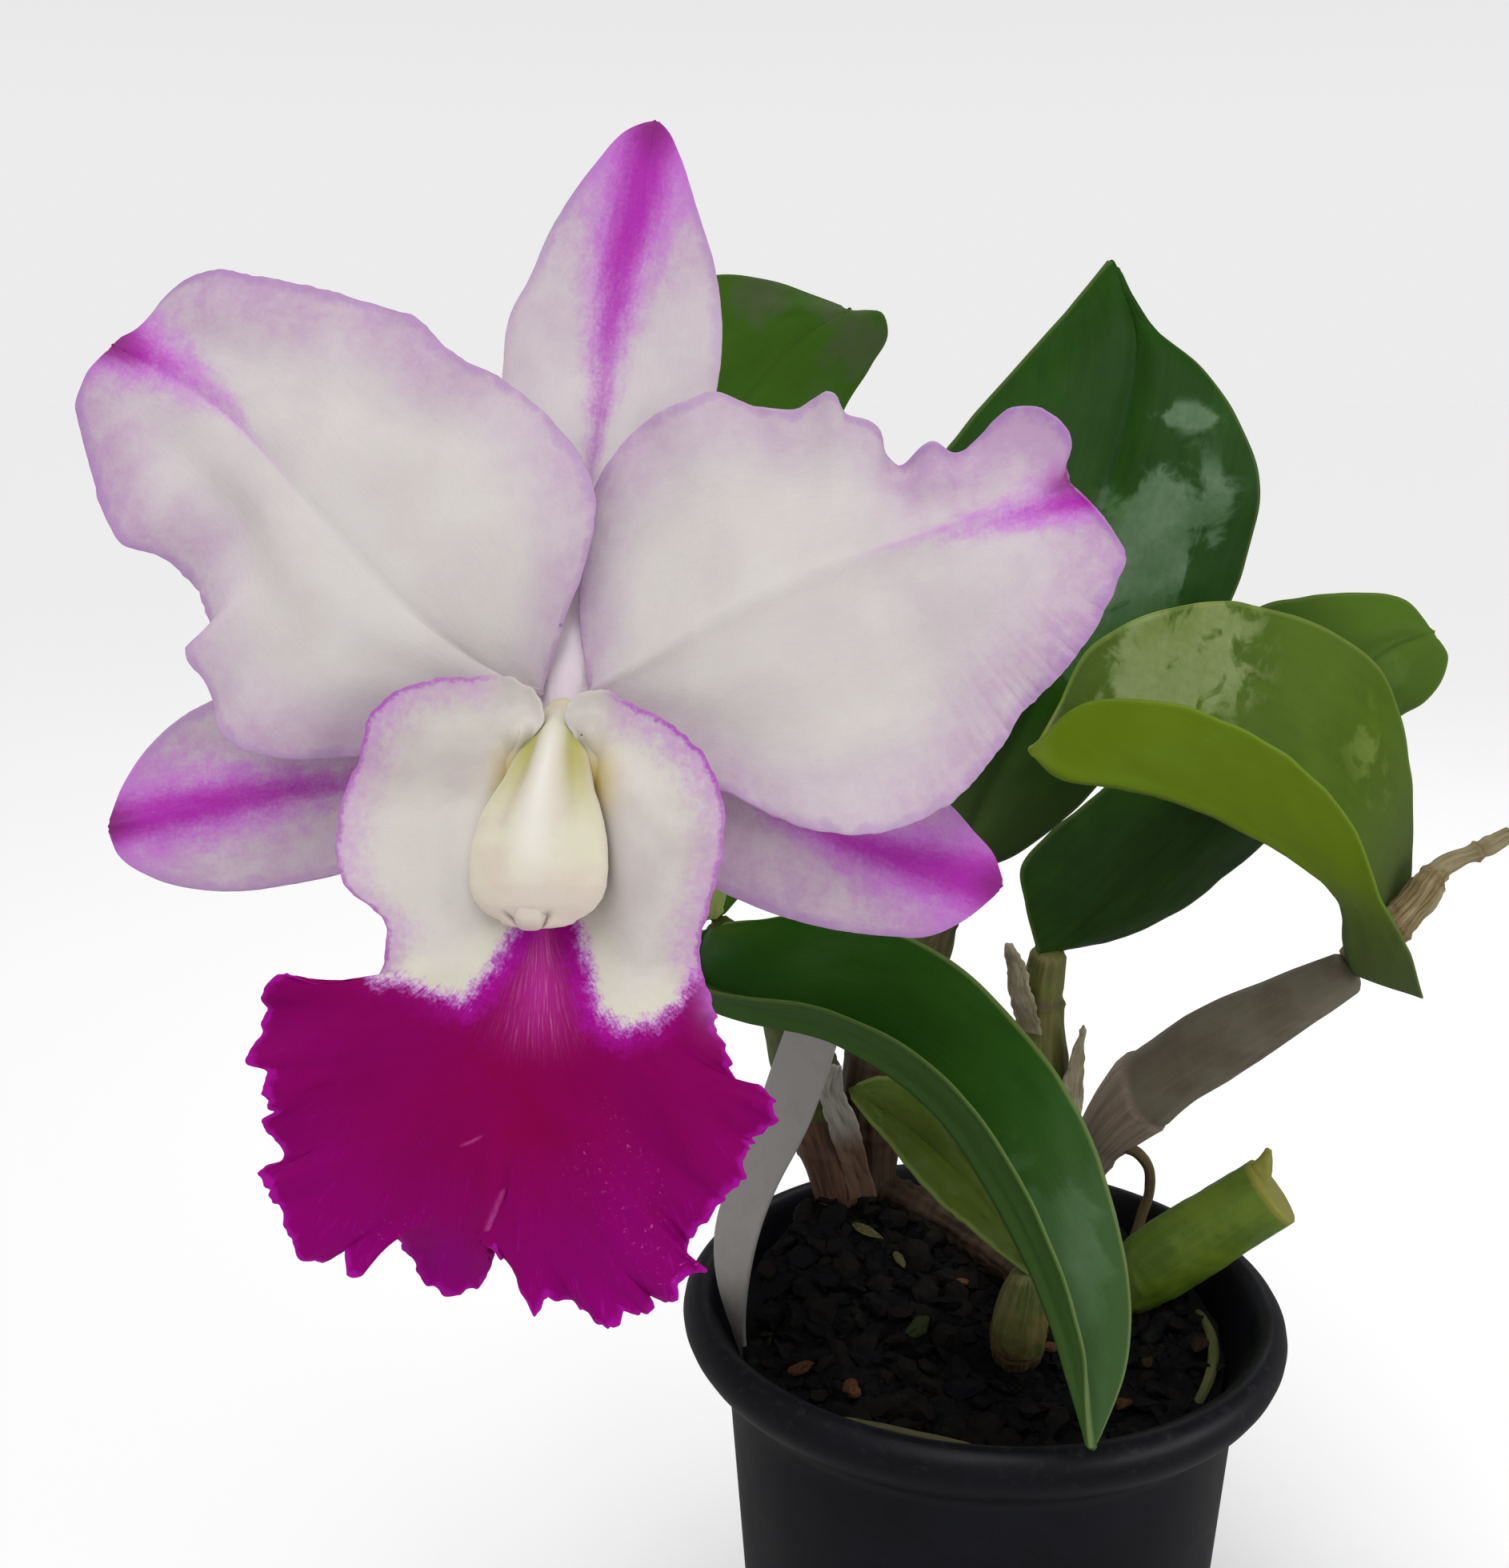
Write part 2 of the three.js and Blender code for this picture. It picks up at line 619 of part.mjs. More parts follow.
const petals = {
  petal_left: {
    mid: [[-2.4, 1.5, 0.6], [-8, 4, 2], [-15, 9, 3.5], [-27.5, 22, 4.6], [-37.7, 33, 3.6],
      [-51.6, 41.5, 0.8]],
    left: [[-1.9, 2.3, 0.6], [2.2, 10.4, 2.6], [3.8, 18.7, 3.6], [4.1, 24.4, 3.4], [2.4, 28.2, 2.4],
      [-1.2, 32.8, 1.4], [-6.8, 37.4, 2], [-11.5, 39.5, 3.4], [-16.3, 43.9, 2], [-20.7, 46.1, 0.8],
      [-24.7, 47.2, 1.2], [-34.2, 48.7, 3], [-39.7, 49.8, 1.4], [-42.9, 49.4, 0.2],
      [-45.9, 47.6, -0.4], [-48.7, 43.8, 0.2], [-51.2, 42.1, 0.8]],
    right: [[-2.9, 0.7, 0.6], [-8, -2.6, 1.6], [-15, -5, 2.4], [-23.8, -5.8, 2.6],
      [-32.1, -6.1, 4], [-36.7, -4.7, 3.4], [-39, -1.9, 2], [-39.7, 1.9, 3.6], [-41.8, 5.6, 4.4],
      [-39.9, 8.1, 2], [-41.4, 12.4, 1], [-45.1, 16.5, 2.8], [-49.5, 18.3, 4],
      [-51.5, 21, 3.2], [-53.8, 26.6, 1], [-55.4, 31.1, 0], [-56, 35.5, 0.2], [-54.3, 38.9, 0.6],
      [-52, 41, 0.8]],
    bulge: 1,
  },
  petal_right: {
    mid: [[2.4, 1.5, 0.6], [9, 4.5, 2], [18, 9.5, 3.4], [33, 16, 4.4], [46, 20.5, 3.6],
      [58.8, 25.7, 1]],
    left: [[1.9, 2.3, 0.6], [2.3, 11.9, -0.2], [3, 17.9, 0], [4.5, 25.8, 0], [7.5, 29.9, 1.4],
      [11, 32.9, 2.2], [15, 34.6, 2.6], [18.8, 35.9, 1.6], [22.5, 34.4, 0.6], [27, 33.9, 1.6],
      [31.8, 35.2, 3.6], [33, 33, 2.8], [36, 32.1, 1], [37.7, 29, -0.6], [39.3, 27.6, 0],
      [42.8, 29.9, 3], [46, 28.8, 1], [48.5, 30.8, -0.6], [52.3, 33.9, 1.6], [56, 33.4, 3],
      [59.1, 29.9, 1.6], [58.6, 27.6, 0.6], [58.9, 26.4, 1]],
    right: [[2.8, 0.6, 0.6], [8, -4, 1.6], [13, -7.6, 2.2], [19.6, -10.2, 2.8], [24.2, -12.5, 3.4],
      [29.7, -14.4, 4.2], [35.3, -14.9, 4.4], [40.8, -13.5, 3.4], [45, -11.3, 2.4],
      [50, -6.1, 2.2], [53.6, -0.6, 2.8], [58, 3.9, 3.6], [60.3, 6.8, 3.2], [64.5, 14.4, 1.2],
      [65.6, 17.1, 0.6], [63.5, 20.9, 0.6], [61.5, 23.3, 0.8], [59.4, 25.2, 1]],
    bulge: 1,
  },
  dorsal_sepal: {
    mid: [[0.3, 3, -1], [1.5, 14, -3.6], [3.5, 30, -5], [6.5, 48, -5.4], [9.2, 60, -4.4],
      [10.8, 68.8, -3]],
    left: [[-0.5, 3, -1], [-3.5, 10, -3], [-6.5, 22, -4.4], [-7.6, 34, -4.6], [-7.2, 40, -4.8],
      [-6.4, 46.5, -5], [-3.8, 51.5, -5.2], [-1.6, 56.5, -5], [3.7, 64, -4], [7.8, 68, -3.3],
      [10.3, 68.9, -3]],
    right: [[1.1, 3, -1], [6, 10, -3], [12, 22, -4.6], [17, 34, -5], [18.5, 43, -5.2],
      [18, 51, -5.4], [15.5, 59.5, -5], [13.5, 65.3, -4], [12.1, 68, -3.3], [11.3, 68.8, -3]],
    bulge: -0.6,
    rows: 12,
    columns: 6,
  },
  lateral_sepal_left: {
    mid: [[-2.2, -1.7, -1], [-13, -5, -3], [-26, -9, -4.6], [-38.5, -11.2, -5], [-47, -13, -4.2],
      [-53.4, -14.2, -3]],
    left: [[-2.6, -0.9, -1], [-10, 2, -3], [-22, 4, -4.5], [-33, 3.5, -5], [-41.3, 0.8, -5],
      [-45.1, -1.2, -4.8], [-48.9, -4.6, -4.3], [-52.2, -9.8, -3.6], [-53.5, -13.5, -3]],
    right: [[-1.5, -2.4, -1], [-10, -9.5, -3], [-18, -16, -4.2], [-26.1, -19.6, -4.8],
      [-33.7, -21.2, -5], [-39.4, -21.9, -5], [-44.6, -21.5, -4.8], [-48.9, -20.2, -4.2],
      [-52.7, -17.4, -3.5], [-53.6, -14.9, -3]],
    bulge: -0.5,
    rows: 11,
    columns: 6,
  },
  lateral_sepal_right: {
    mid: [[2.2, -1.7, -1], [12, -6, -3], [24, -12, -4.5], [33.7, -16, -5], [43, -19, -4.2],
      [51.6, -21.3, -3]],
    left: [[2.6, -0.9, -1], [14, -1, -3], [27, -3, -4.5], [37, -6.5, -5], [45.6, -11.7, -5],
      [48.5, -15, -4.4], [50.9, -17.9, -3.8], [51.8, -20.6, -3]],
    right: [[1.5, -2.4, -1], [7, -12, -3], [14, -19, -4], [21.4, -23.1, -4.6], [31.9, -26.4, -5],
      [38.5, -27.2, -5], [43.3, -27.2, -4.6], [47.1, -25.5, -4], [51.4, -21.9, -3]],
    bulge: -0.5,
    rows: 11,
    columns: 6,
  },
};

// The lip: its midline runs from the claw under the column out to the cleft of the middle lobe,
// and its margins go round the side lobes and then the middle lobe.
const lip = {
  mid: [[0.2, -3.6, 0.8], [0, -8, 2.5], [-0.5, -14, 5], [-1, -20, 7.5], [-1.3, -25.5, 9.6],
    [-1.8, -32, 11.6], [-2.8, -42, 12.8], [-4.4, -52, 11.8], [-6.8, -59.2, 9.4]],
  left: [[-0.6, -0.8, 3.4], [-2.1, 1.3, 5.5], [-4.4, 2.4, 8], [-8.7, 2.3, 10.4],
    [-14.7, 1.6, 11.6], [-19.2, -1.3, 11.4], [-20.6, -5.6, 10.4], [-22.9, -12.5, 11.4],
    [-22.4, -20, 12], [-17.8, -24.8, 11.2], [-17.9, -28, 10.8], [-19.4, -31, 11], [-24.5, -31.2, 12.5],
    [-29.6, -30.6, 13], [-31.4, -36, 11], [-31, -43, 14], [-30.2, -49.5, 11], [-30.8, -54.4, 13.5],
    [-25.4, -61.2, 9.6], [-22, -62.4, 12], [-17, -60.4, 8.6], [-14.6, -63.6, 5.4],
    [-10.4, -64.8, 4.6], [-7.8, -62.4, 6.4], [-7.1, -59.8, 9]],
  right: [[1.9, -0.8, 3.4], [3.4, 0.6, 5.5], [5, 1, 7.8], [8.2, -0.3, 9.8], [14.4, -3.7, 11],
    [18.4, -9.2, 10.8], [19.1, -14.5, 11.6], [17.8, -21.8, 12], [16.4, -28, 11.2],
    [17.8, -33, 11.6], [20.4, -41, 12.6], [25, -44.8, 14.4], [21.9, -48.4, 12], [20, -54, 13.6],
    [16, -60, 10.6], [16.8, -62.8, 12.4], [11.1, -66.6, 9.2], [6, -68.8, 11.6],
    [1, -66.4, 8.6], [-0.9, -67, 10.4], [-3, -63.4, 8.8], [-6.4, -59.8, 9.4]],
  rows: 38,
  columns: 10,
  thick: 1.1,
  edge: 0.7,
  bulge: 0.6,
  wrap: 2.6,
  color: "#b3087c",
};

const column = {
  path: [[0.2, -0.4, 0.4], [0.6, -2.4, 4.6], [0.5, -6, 8.6], [0.1, -11, 11.8], [-0.3, -16, 13.8],
    [-0.6, -20, 14.8], [-0.7, -23, 15.2]],
  widths: [1.7, 2.2, 3.2, 4.6, 6, 7, 7.4, 6.6, 4.6],
  depths: [1.6, 1.9, 2.4, 2.8, 3.1, 3.3, 3.3, 3, 2.2],
  sides: 12,
  rings: 12,
  color: "#e9e6c8",
};

const antherCap = {
  path: [[-0.8, -23.4, 15.6], [-0.9, -24.4, 15.4], [-1, -25.4, 14.6]],
  widths: [3.2, 3.8, 2.4],
  depths: [1.4, 1.9, 1],
  sides: 10,
  rings: 4,
  color: "#f1eedd",
};

const stalk = {
  foot: [-45, 0.4, 157.2], // on top of pseudobulb 0
  bend: [[-46.5, -4, 170], [-52, -20, 186]],
  ovary: [[-0.2, 0.2, -32], [0, 0, -16], [0.1, -0.2, -2.2]], // in the bloom's frame
  widths: [1.9, 1.6, 1.5, 1.5, 1.6, 2, 2.4, 2.5, 2.3, 1.9],
  sides: 8,
  rings: 16,
  color: "#7f9148",
};

const flowerSheath = {
  path: [[-46, -1.4, 158.4], [-46.6, -4, 168], [-49, -10, 178]],
  widths: [3, 4.4, 5, 4.2, 1.2],
  depths: [2.4, 3, 2.8, 1.8, 0.8],
  sides: 10,
  rings: 9,
  color: "#74944a",
};

// ---------------------------------------------------------------- assembly

const orchid = new THREE.Group();

function addMesh(parent, name, geometry, color, roughness = 0.6, metalness = 0) {
  geometry.computeVertexNormals();
  const material = new THREE.MeshStandardMaterial({ color, roughness, metalness });
  const mesh = new THREE.Mesh(geometry, material);
  mesh.name = name;
  parent.add(mesh);
  return mesh;
}

const flower = new THREE.Group();
flower.position.set(...bloom.centre);
flower.rotation.x = THREE.MathUtils.degToRad(bloom.tilt);
flower.updateMatrixWorld(true);
orchid.add(flower);

const toBloom = (p) => flower.worldToLocal(vec(p)).toArray();
const stalkStem = (() => {
  const path = [stalk.foot, ...stalk.bend].map(toBloom).concat(stalk.ovary);
  return { ...stalk, path };
})();
const worldStalk = stemGeometry(stalkStem, gap).applyMatrix4(flower.matrixWorld);

const rhizome = (grow) => joined(rhizomeStems.map((stem) => stemGeometry(stem, grow)));
const grownBulbs = Object.values(pseudobulbs).map((stem) => stemGeometry(stem, gap));

addMesh(orchid, "pot", potGeometry(), "#1b1d22", 0.45);
addMesh(orchid, "rhizome", rhizome(0), "#5d4630", 0.8);

for (const [name, stem] of Object.entries(pseudobulbs)) {
  addMesh(orchid, name, cutClear(stemGeometry(stem), [rhizome(gap)]), stem.color, 0.55);
}

const stump = (grow) => joined([stemGeometry(cutStem, grow), stemGeometry(cutPoint, grow)]);
addMesh(orchid, "cut_stem", cutClear(stump(0), [rhizome(gap)]), cutStem.color, 0.5);

addMesh(orchid, "old_flower_spike", cutClear(stemGeometry(oldSpike), grownBulbs), oldSpike.color, 0.85);

const bladeOf = (defaults, blade, grow) => bladeGeometry({ ...defaults, ...blade }, grow);
for (const [name, leaf] of Object.entries(leaves)) {
  const tools = [...grownBulbs, worldStalk, stemGeometry(oldSpike, gap)];
  addMesh(orchid, name, cutClear(bladeOf(leafCut, leaf), tools), leaf.color, 0.35);
}

for (const [name, bract] of Object.entries(bracts)) {
  const tools = [...grownBulbs, rhizome(gap)];
  addMesh(orchid, name, cutClear(bladeGeometry(bract), tools), bract.color, 0.8);
}

for (const [name, root] of Object.entries(roots)) {
  addMesh(orchid, name, cutClear(stemGeometry(root), grownBulbs), root.color, 0.75);
}

addMesh(orchid, "plant_label", bladeGeometry(label), label.color, 0.4);

const standing = [
  ...grownBulbs,
  rhizome(gap),
  stump(gap),
  ...Object.values(roots).map((root) => stemGeometry(root, gap)),
  ...Object.values(bracts).map((bract) => bladeGeometry(bract, gap)),
  bladeGeometry(label, gap),
];
addMesh(orchid, "potting_medium", cutClear(soilGeometry(), standing), "#1d1612", 0.95);

// Bloom
const grownColumn = stemGeometry(column, gap);
const grownStalk = stemGeometry(stalkStem, gap);
addMesh(flower, "column", stemGeometry(column), column.color, 0.45);
addMesh(flower, "anther_cap", cutClear(stemGeometry(antherCap), [grownColumn]), antherCap.color, 0.45);
addMesh(flower, "flower_stalk", cutClear(stemGeometry(stalkStem), [grownColumn]), stalk.color, 0.5);
for (const [name, petal] of Object.entries(petals)) {
  const geometry = cutClear(bladeOf(petalCut, petal), [grownColumn, grownStalk]);
  addMesh(flower, name, geometry, "#d9c8dc", 0.5);
}
addMesh(flower, "lip", cutClear(bladeGeometry(lip), [grownColumn, grownStalk]), lip.color, 0.45);
const sheathTools = [worldStalk, ...grownBulbs, bladeOf(leafCut, leaves.leaf_a, gap),
  bladeOf(leafCut, leaves.leaf_f, gap)];
addMesh(orchid, "flower_sheath", cutClear(stemGeometry(flowerSheath), sheathTools), flowerSheath.color, 0.6);

export default orchid;
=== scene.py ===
# A potted cattleya orchid with one open bloom, dressed around its CAD frame.
# Point lists are in millimetres: the plant's in the frame's axes, the bloom's in its own.
import math

import bpy
import numpy as np
from mathutils import Matrix, Vector


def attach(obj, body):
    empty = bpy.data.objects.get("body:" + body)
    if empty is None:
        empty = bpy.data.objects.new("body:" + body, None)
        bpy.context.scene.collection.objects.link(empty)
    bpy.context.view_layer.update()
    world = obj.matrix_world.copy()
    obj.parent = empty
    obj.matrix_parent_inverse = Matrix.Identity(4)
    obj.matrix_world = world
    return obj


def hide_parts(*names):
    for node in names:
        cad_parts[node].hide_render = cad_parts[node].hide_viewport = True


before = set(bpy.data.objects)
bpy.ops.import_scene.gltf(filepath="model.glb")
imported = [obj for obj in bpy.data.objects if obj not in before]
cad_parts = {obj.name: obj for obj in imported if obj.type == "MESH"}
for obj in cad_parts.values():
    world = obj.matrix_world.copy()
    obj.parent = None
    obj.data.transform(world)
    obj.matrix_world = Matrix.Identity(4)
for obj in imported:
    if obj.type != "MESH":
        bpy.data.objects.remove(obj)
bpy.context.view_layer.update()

mm = 0.001
body = "root"
scene = bpy.context.scene


# small maths
def smooth(t):
    t = np.clip(t, 0, 1)
    return t * t * (3 - 2 * t)


def mix(a, b, t):
    return a + (b - a) * t


def hill(distance, width):
    return np.exp(-(distance / width) ** 2)


def unit(vectors):
    return vectors / np.maximum(np.linalg.norm(vectors, axis=-1, keepdims=True), 1e-9)


# A value along even steps, or along its own shares where the list holds pairs.
def along(values, share):
    if isinstance(values[0], (list, tuple)):
        return np.interp(share, [at for at, _ in values], [value for _, value in values])
    return np.interp(share, np.linspace(0, 1, len(values)), values)


# A smooth curve through points, read by its share of length.
def curveThrough(points):
    knots = np.array(points, float)
    legs = np.diff(knots, axis=0)
    steps = np.linalg.norm(legs, axis=1)
    at = np.concatenate([[0], np.cumsum(steps)])
    slopes = legs / steps[:, None]
    before, after = steps[:-1, None], steps[1:, None]
    inner = (slopes[:-1] * after + slopes[1:] * before) / (before + after)
    tangents = np.concatenate([slopes[:1], inner, slopes[-1:]])

    def read(share):
        s = np.clip(share, 0, 1) * at[-1]
        i = np.clip(np.searchsorted(at, s, side="right") - 1, 0, len(steps) - 1)
        h = steps[i][..., None]
        t = (s - at[i])[..., None] / h
        return (knots[i] * (2 * t ** 3 - 3 * t ** 2 + 1) + tangents[i] * (t ** 3 - 2 * t ** 2 + t) * h
                + knots[i + 1] * (3 * t ** 2 - 2 * t ** 3) + tangents[i + 1] * (t ** 3 - t ** 2) * h)

    return read


def headingOf(curve, share):
    return curve(np.minimum(1, share + 0.01)) - curve(np.maximum(0, share - 0.01))


def lengthOf(points):
    return np.linalg.norm(np.diff(np.array(points, float), axis=0), axis=1).sum()


# Smooth random heights from -1 to 1 over a plane.
def softNoise(x, y, seed):
    size = 61
    table = np.random.default_rng(seed).uniform(-1, 1, (size, size))
    x, y = np.broadcast_arrays(np.asarray(x, float), np.asarray(y, float))
    i, j = np.floor(x).astype(int), np.floor(y).astype(int)
    s, t = smooth(x - i), smooth(y - j)
    low = mix(table[i % size, j % size], table[(i + 1) % size, j % size], s)
    high = mix(table[i % size, (j + 1) % size], table[(i + 1) % size, (j + 1) % size], s)
    return mix(low, high, t)


# meshes
def newObject(name, data):
    made = bpy.data.objects.new(name, data)
    scene.collection.objects.link(made)
    return made


def addFields(mesh, fields):
    for label, values in fields.items():
        values = np.asarray(values, np.float32)
        flat = values.ndim == 1
        layer = mesh.attributes.new(label, "FLOAT" if flat else "FLOAT_VECTOR", "POINT")
        layer.data.foreach_set("value" if flat else "vector", values.ravel())


def meshFrom(name, points, faces, fields, smoothFaces=True):
    mesh = bpy.data.meshes.new(name)
    mesh.from_pydata((np.asarray(points) * mm).tolist(), [], [list(map(int, f)) for f in faces])
    mesh.update()
    addFields(mesh, fields)
    mesh.polygons.foreach_set("use_smooth", [smoothFaces] * len(mesh.polygons))
    return newObject(name, mesh)


def settle(piece, material, node):
    if material is not None:
        piece.data.materials.clear()
        piece.data.materials.append(material)
    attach(piece, body)
    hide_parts(node)


# The middle surface of a leaf or petal between two margins and over a midrib. A blade's grid has its rows,
# its columns and how far these crowd to the margins, which keep the share detail of their small turns.
def layBlade(blade, rows, columns, crowd):
    u = np.linspace(0, 1, rows + 1)
    t = np.linspace(-1, 1, columns + 1)
    v = mix(t, np.sin(t * math.pi / 2), crowd)
    a = np.abs(v)[None, :]
    mid, left, right = [curveThrough(blade[key]) for key in ("mid", "left", "right")]
    room = np.minimum(0.05, np.minimum(u, 1 - u))
    isLeft = (v < 0)[None, :, None]

    def margin(read):
        return np.where(isLeft, read(left)[:, None, :], read(right)[:, None, :])

    soft = margin(lambda curve: sum(curve(u + k * room) for k in (-1, -0.5, 0, 0.5, 1)) / 5)
    rim = margin(lambda curve: curve(u))
    normal = unit(np.cross(headingOf(mid, u), right(u) - left(u)))[:, None, :]
    points = mid(u)[:, None, :] * (1 - a[..., None]) + soft * a[..., None]
    points = points + (rim - soft) * (blade.get("detail", 1) * a ** 4)[..., None]
    arch = 4 * a * (1 - a)
    points = points + normal * (blade.get("bulge", 0) * arch * np.sin(math.pi * u)[:, None] ** 0.5)[..., None]
    points[..., 0] += blade.get("wrap", 0) * arch * np.exp(-u / 0.12)[:, None] * np.sign(v)
    return {"u": u[:, None] + 0 * a, "v": v[None, :] + 0 * u[:, None], "points": points}


# Shares along and across a blade, the distance from its midrib as a share, and a number for each half.
def sharesOf(grid, farHalf=20.0):
    return grid["u"], grid["v"], np.abs(grid["v"]), np.where(grid["v"] < 0, 0.0, farHalf)


def directions(points):
    alongRun = unit(np.gradient(points, axis=0))
    acrossRun = unit(np.gradient(points, axis=1))
    return alongRun, acrossRun, unit(np.cross(alongRun, acrossRun))


def lift(grid, height, outward=0.0):
    _, acrossRun, normal = directions(grid["points"])
    grid["points"] = grid["points"] + normal * height[..., None]
    grid["points"] = grid["points"] + acrossRun * (outward * np.sign(grid["v"]))[..., None]


# Distances along each row: from the nearer margin, and from the midrib with its sign.
def rowDistances(points):
    steps = np.linalg.norm(np.diff(points, axis=1), axis=2)
    reach = np.concatenate([np.zeros((len(points), 1)), np.cumsum(steps, axis=1)], axis=1)
    middle = points.shape[1] // 2
    return np.minimum(reach, reach[:, -1:] - reach), reach - reach[:, middle:middle + 1]


# Closes a sheet with a rounded rim. half is half its thickness at each point.
def closeSheet(name, grid, half, fields, roundSteps=2, flip=False):
    points = grid["points"]
    alongRun, acrossRun, normal = directions(points)
    turns = np.linspace(0, math.pi / 2, roundSteps + 1)[1:]

    def padded(count):
        index = np.clip(np.arange(-roundSteps, count + roundSteps), 0, count - 1)
        out = np.concatenate([-np.sin(turns[::-1]), np.zeros(count), np.sin(turns)])
        rise = np.concatenate([np.cos(turns[::-1]), np.ones(count), np.cos(turns)])
        rise[0] = rise[-1] = 0
        return index, out, rise

    rowAt, rowOut, rowRise = padded(points.shape[0])
    columnAt, columnOut, columnRise = padded(points.shape[1])
    pick = np.ix_(rowAt, columnAt)
    thick = half[pick][..., None]
    centre = (points[pick] + alongRun[pick] * thick * rowOut[:, None, None]
              + acrossRun[pick] * thick * columnOut[None, :, None])
    offset = normal[pick] * thick * (rowRise[:, None] * columnRise[None, :])[..., None]
    rows, columns = centre.shape[:2]
    inner = (slice(1, -1), slice(1, -1))
    backCount = (rows - 2) * (columns - 2)
    front = np.arange(rows * columns).reshape(rows, columns)
    back = front.copy()
    back[inner] = rows * columns + np.arange(backCount).reshape(rows - 2, columns - 2)
    faces = []
    for ids, order in ((front, 1), (back, -1)):
        quads = np.stack([ids[:-1, :-1], ids[1:, :-1], ids[1:, 1:], ids[:-1, 1:]], axis=-1).reshape(-1, 4)
        faces.append(quads[:, ::order])

    def bothFaces(above, below):
        return np.concatenate([part.reshape(-1, *above.shape[2:]) for part in (above, below[inner])])

    kept = {label: bothFaces(values[pick], values[pick]) for label, values in fields.items()}
    ring = np.ones((rows, columns))
    ring[0] = ring[-1] = ring[:, 0] = ring[:, -1] = 0.5
    upper = bothFaces(ring, 0 * ring)
    kept["upperFace"] = 1 - upper if flip else upper
    return meshFrom(name, bothFaces(centre + offset, centre - offset), np.concatenate(faces), kept)


# Faces of rings of points, closed at both ends by the two points that follow them. downward is for rings
# that start at the top.
def ringFaces(count, sides, downward=False):
    ids = np.arange(count * sides).reshape(count, sides)
    turned = np.roll(ids, -1, axis=1)
    near, far = (turned, ids) if downward else (ids, turned)
    order = [0, 3, 2, 1] if downward else [0, 1, 2, 3]
    quads = np.stack([ids[:-1], turned[:-1], turned[1:], ids[1:]], axis=-1).reshape(-1, 4)[:, order]
    first = [[far[0, k], near[0, k], count * sides] for k in range(sides)]
    last = [[near[-1, k], far[-1, k], count * sides + 1] for k in range(sides)]
    return quads.tolist(), first, last


def anglesRound(sides):
    return np.arange(sides) * 2 * math.pi / sides


def circleAt(radius, height, angle):
    return np.stack([radius * np.cos(angle), radius * np.sin(angle), height + 0 * angle], axis=-1)


# A stem of elliptical rings along a curve, with rounded ends and a relief of its own. Gives the piece, and
# each point's share of the length and angle.
def buildStem(name, stem, relief, capShare, toWorld=None):
    rings, sides = stem.get("rings", 110), stem.get("sides", 56)
    curve = curveThrough(stem["path"])
    u = np.linspace(0, 1, rings + 1)
    centre = curve(u)
    ahead = unit(headingOf(curve, u))
    across = np.zeros_like(centre)
    side = np.array((1.0, 0.0, 0.0))
    for i in range(rings + 1):
        side = side - ahead[i] * side.dot(ahead[i])
        side = side / np.linalg.norm(side)
        across[i] = side
    deep = np.cross(ahead, across)
    angle = anglesRound(sides)
    widths = along(stem["widths"], u)
    depths = along(stem.get("depths", stem["widths"]), u)
    length = lengthOf(centre)
    turns = np.linspace(0, math.pi / 2, 5)[1:-1]
    at = np.clip(np.arange(-len(turns), rings + 1 + len(turns)), 0, rings)
    out = np.concatenate([-np.sin(turns[::-1]), np.zeros(rings + 1), np.sin(turns)]) * capShare
    narrow = np.concatenate([np.cos(turns[::-1]), np.ones(rings + 1), np.cos(turns)])
    bump = relief(u[at][:, None], angle[None, :]) * narrow[:, None]
    core = centre[at] + ahead[at] * (out * widths[at])[:, None]
    wide = np.cos(angle) * ((widths[at] * narrow)[:, None] + bump)
    tall = np.sin(angle) * ((depths[at] * narrow)[:, None] + bump)
    ring = across[at][:, None, :] * wide[..., None] + deep[at][:, None, :] * tall[..., None]
    ends = [centre[0] - ahead[0] * capShare * widths[0], centre[-1] + ahead[-1] * capShare * widths[-1]]
    points = np.concatenate([(core[:, None, :] + ring).reshape(-1, 3), ends])
    count = len(at)
    shares = np.repeat(u[at], sides)
    place = np.stack([np.tile(np.cos(angle), count), np.tile(np.sin(angle), count), shares * length], axis=1)
    fields = {"share": np.concatenate([shares, [0, 1]]),
              "place": np.concatenate([place, [[0, 0, 0], [0, 0, length]]])}
    if toWorld is not None:
        points = toWorld(points)
    piece = meshFrom(name, points, sum(ringFaces(count, sides), []), fields)
    return piece, fields["share"], np.arctan2(fields["place"][:, 1], fields["place"][:, 0])


# shader helpers
def paint(code):
    parts = [int(code[i:i + 2], 16) / 255 for i in (0, 2, 4)]
    return tuple(c / 12.92 if c <= 0.04045 else ((c + 0.055) / 1.055) ** 2.4 for c in parts) + (1.0,)


def isSocket(value):
    return isinstance(value, bpy.types.NodeSocket)


def node(tree, kind, settings=None, feeds=None):
    made = tree.nodes.new(kind)
    for key, value in (settings or {}).items():
        setattr(made, key, value)
    for key, value in (feeds or {}).items():
        if isSocket(value):
            tree.links.new(value, made.inputs[key])
        else:
            made.inputs[key].default_value = value
    return made


# Adds a node to the tree of the sockets that feed it, and gives one of its outputs.
def fed(kind, settings, feeds, output=0):
    tree = next(value.id_data for value in feeds.values() if isSocket(value))
    return node(tree, kind, settings, feeds).outputs[output]


def maths(operation, first, second=0.0):
    return fed("ShaderNodeMath", {"operation": operation}, {0: first, 1: second})


def times(total, *others):
    for value in others:
        total = maths("MULTIPLY", total, value)
    return total


def plus(total, *others):
    for value in others:
        total = maths("ADD", total, value)
    return total


# A value that wavers by a share of a noise round its middle.
def wavered(value, cloud, share):
    return plus(value, times(plus(cloud, -0.5), share))


def between(share, first, second):
    return fed("ShaderNodeMix", {"data_type": "FLOAT"}, {0: share, 2: first, 3: second})


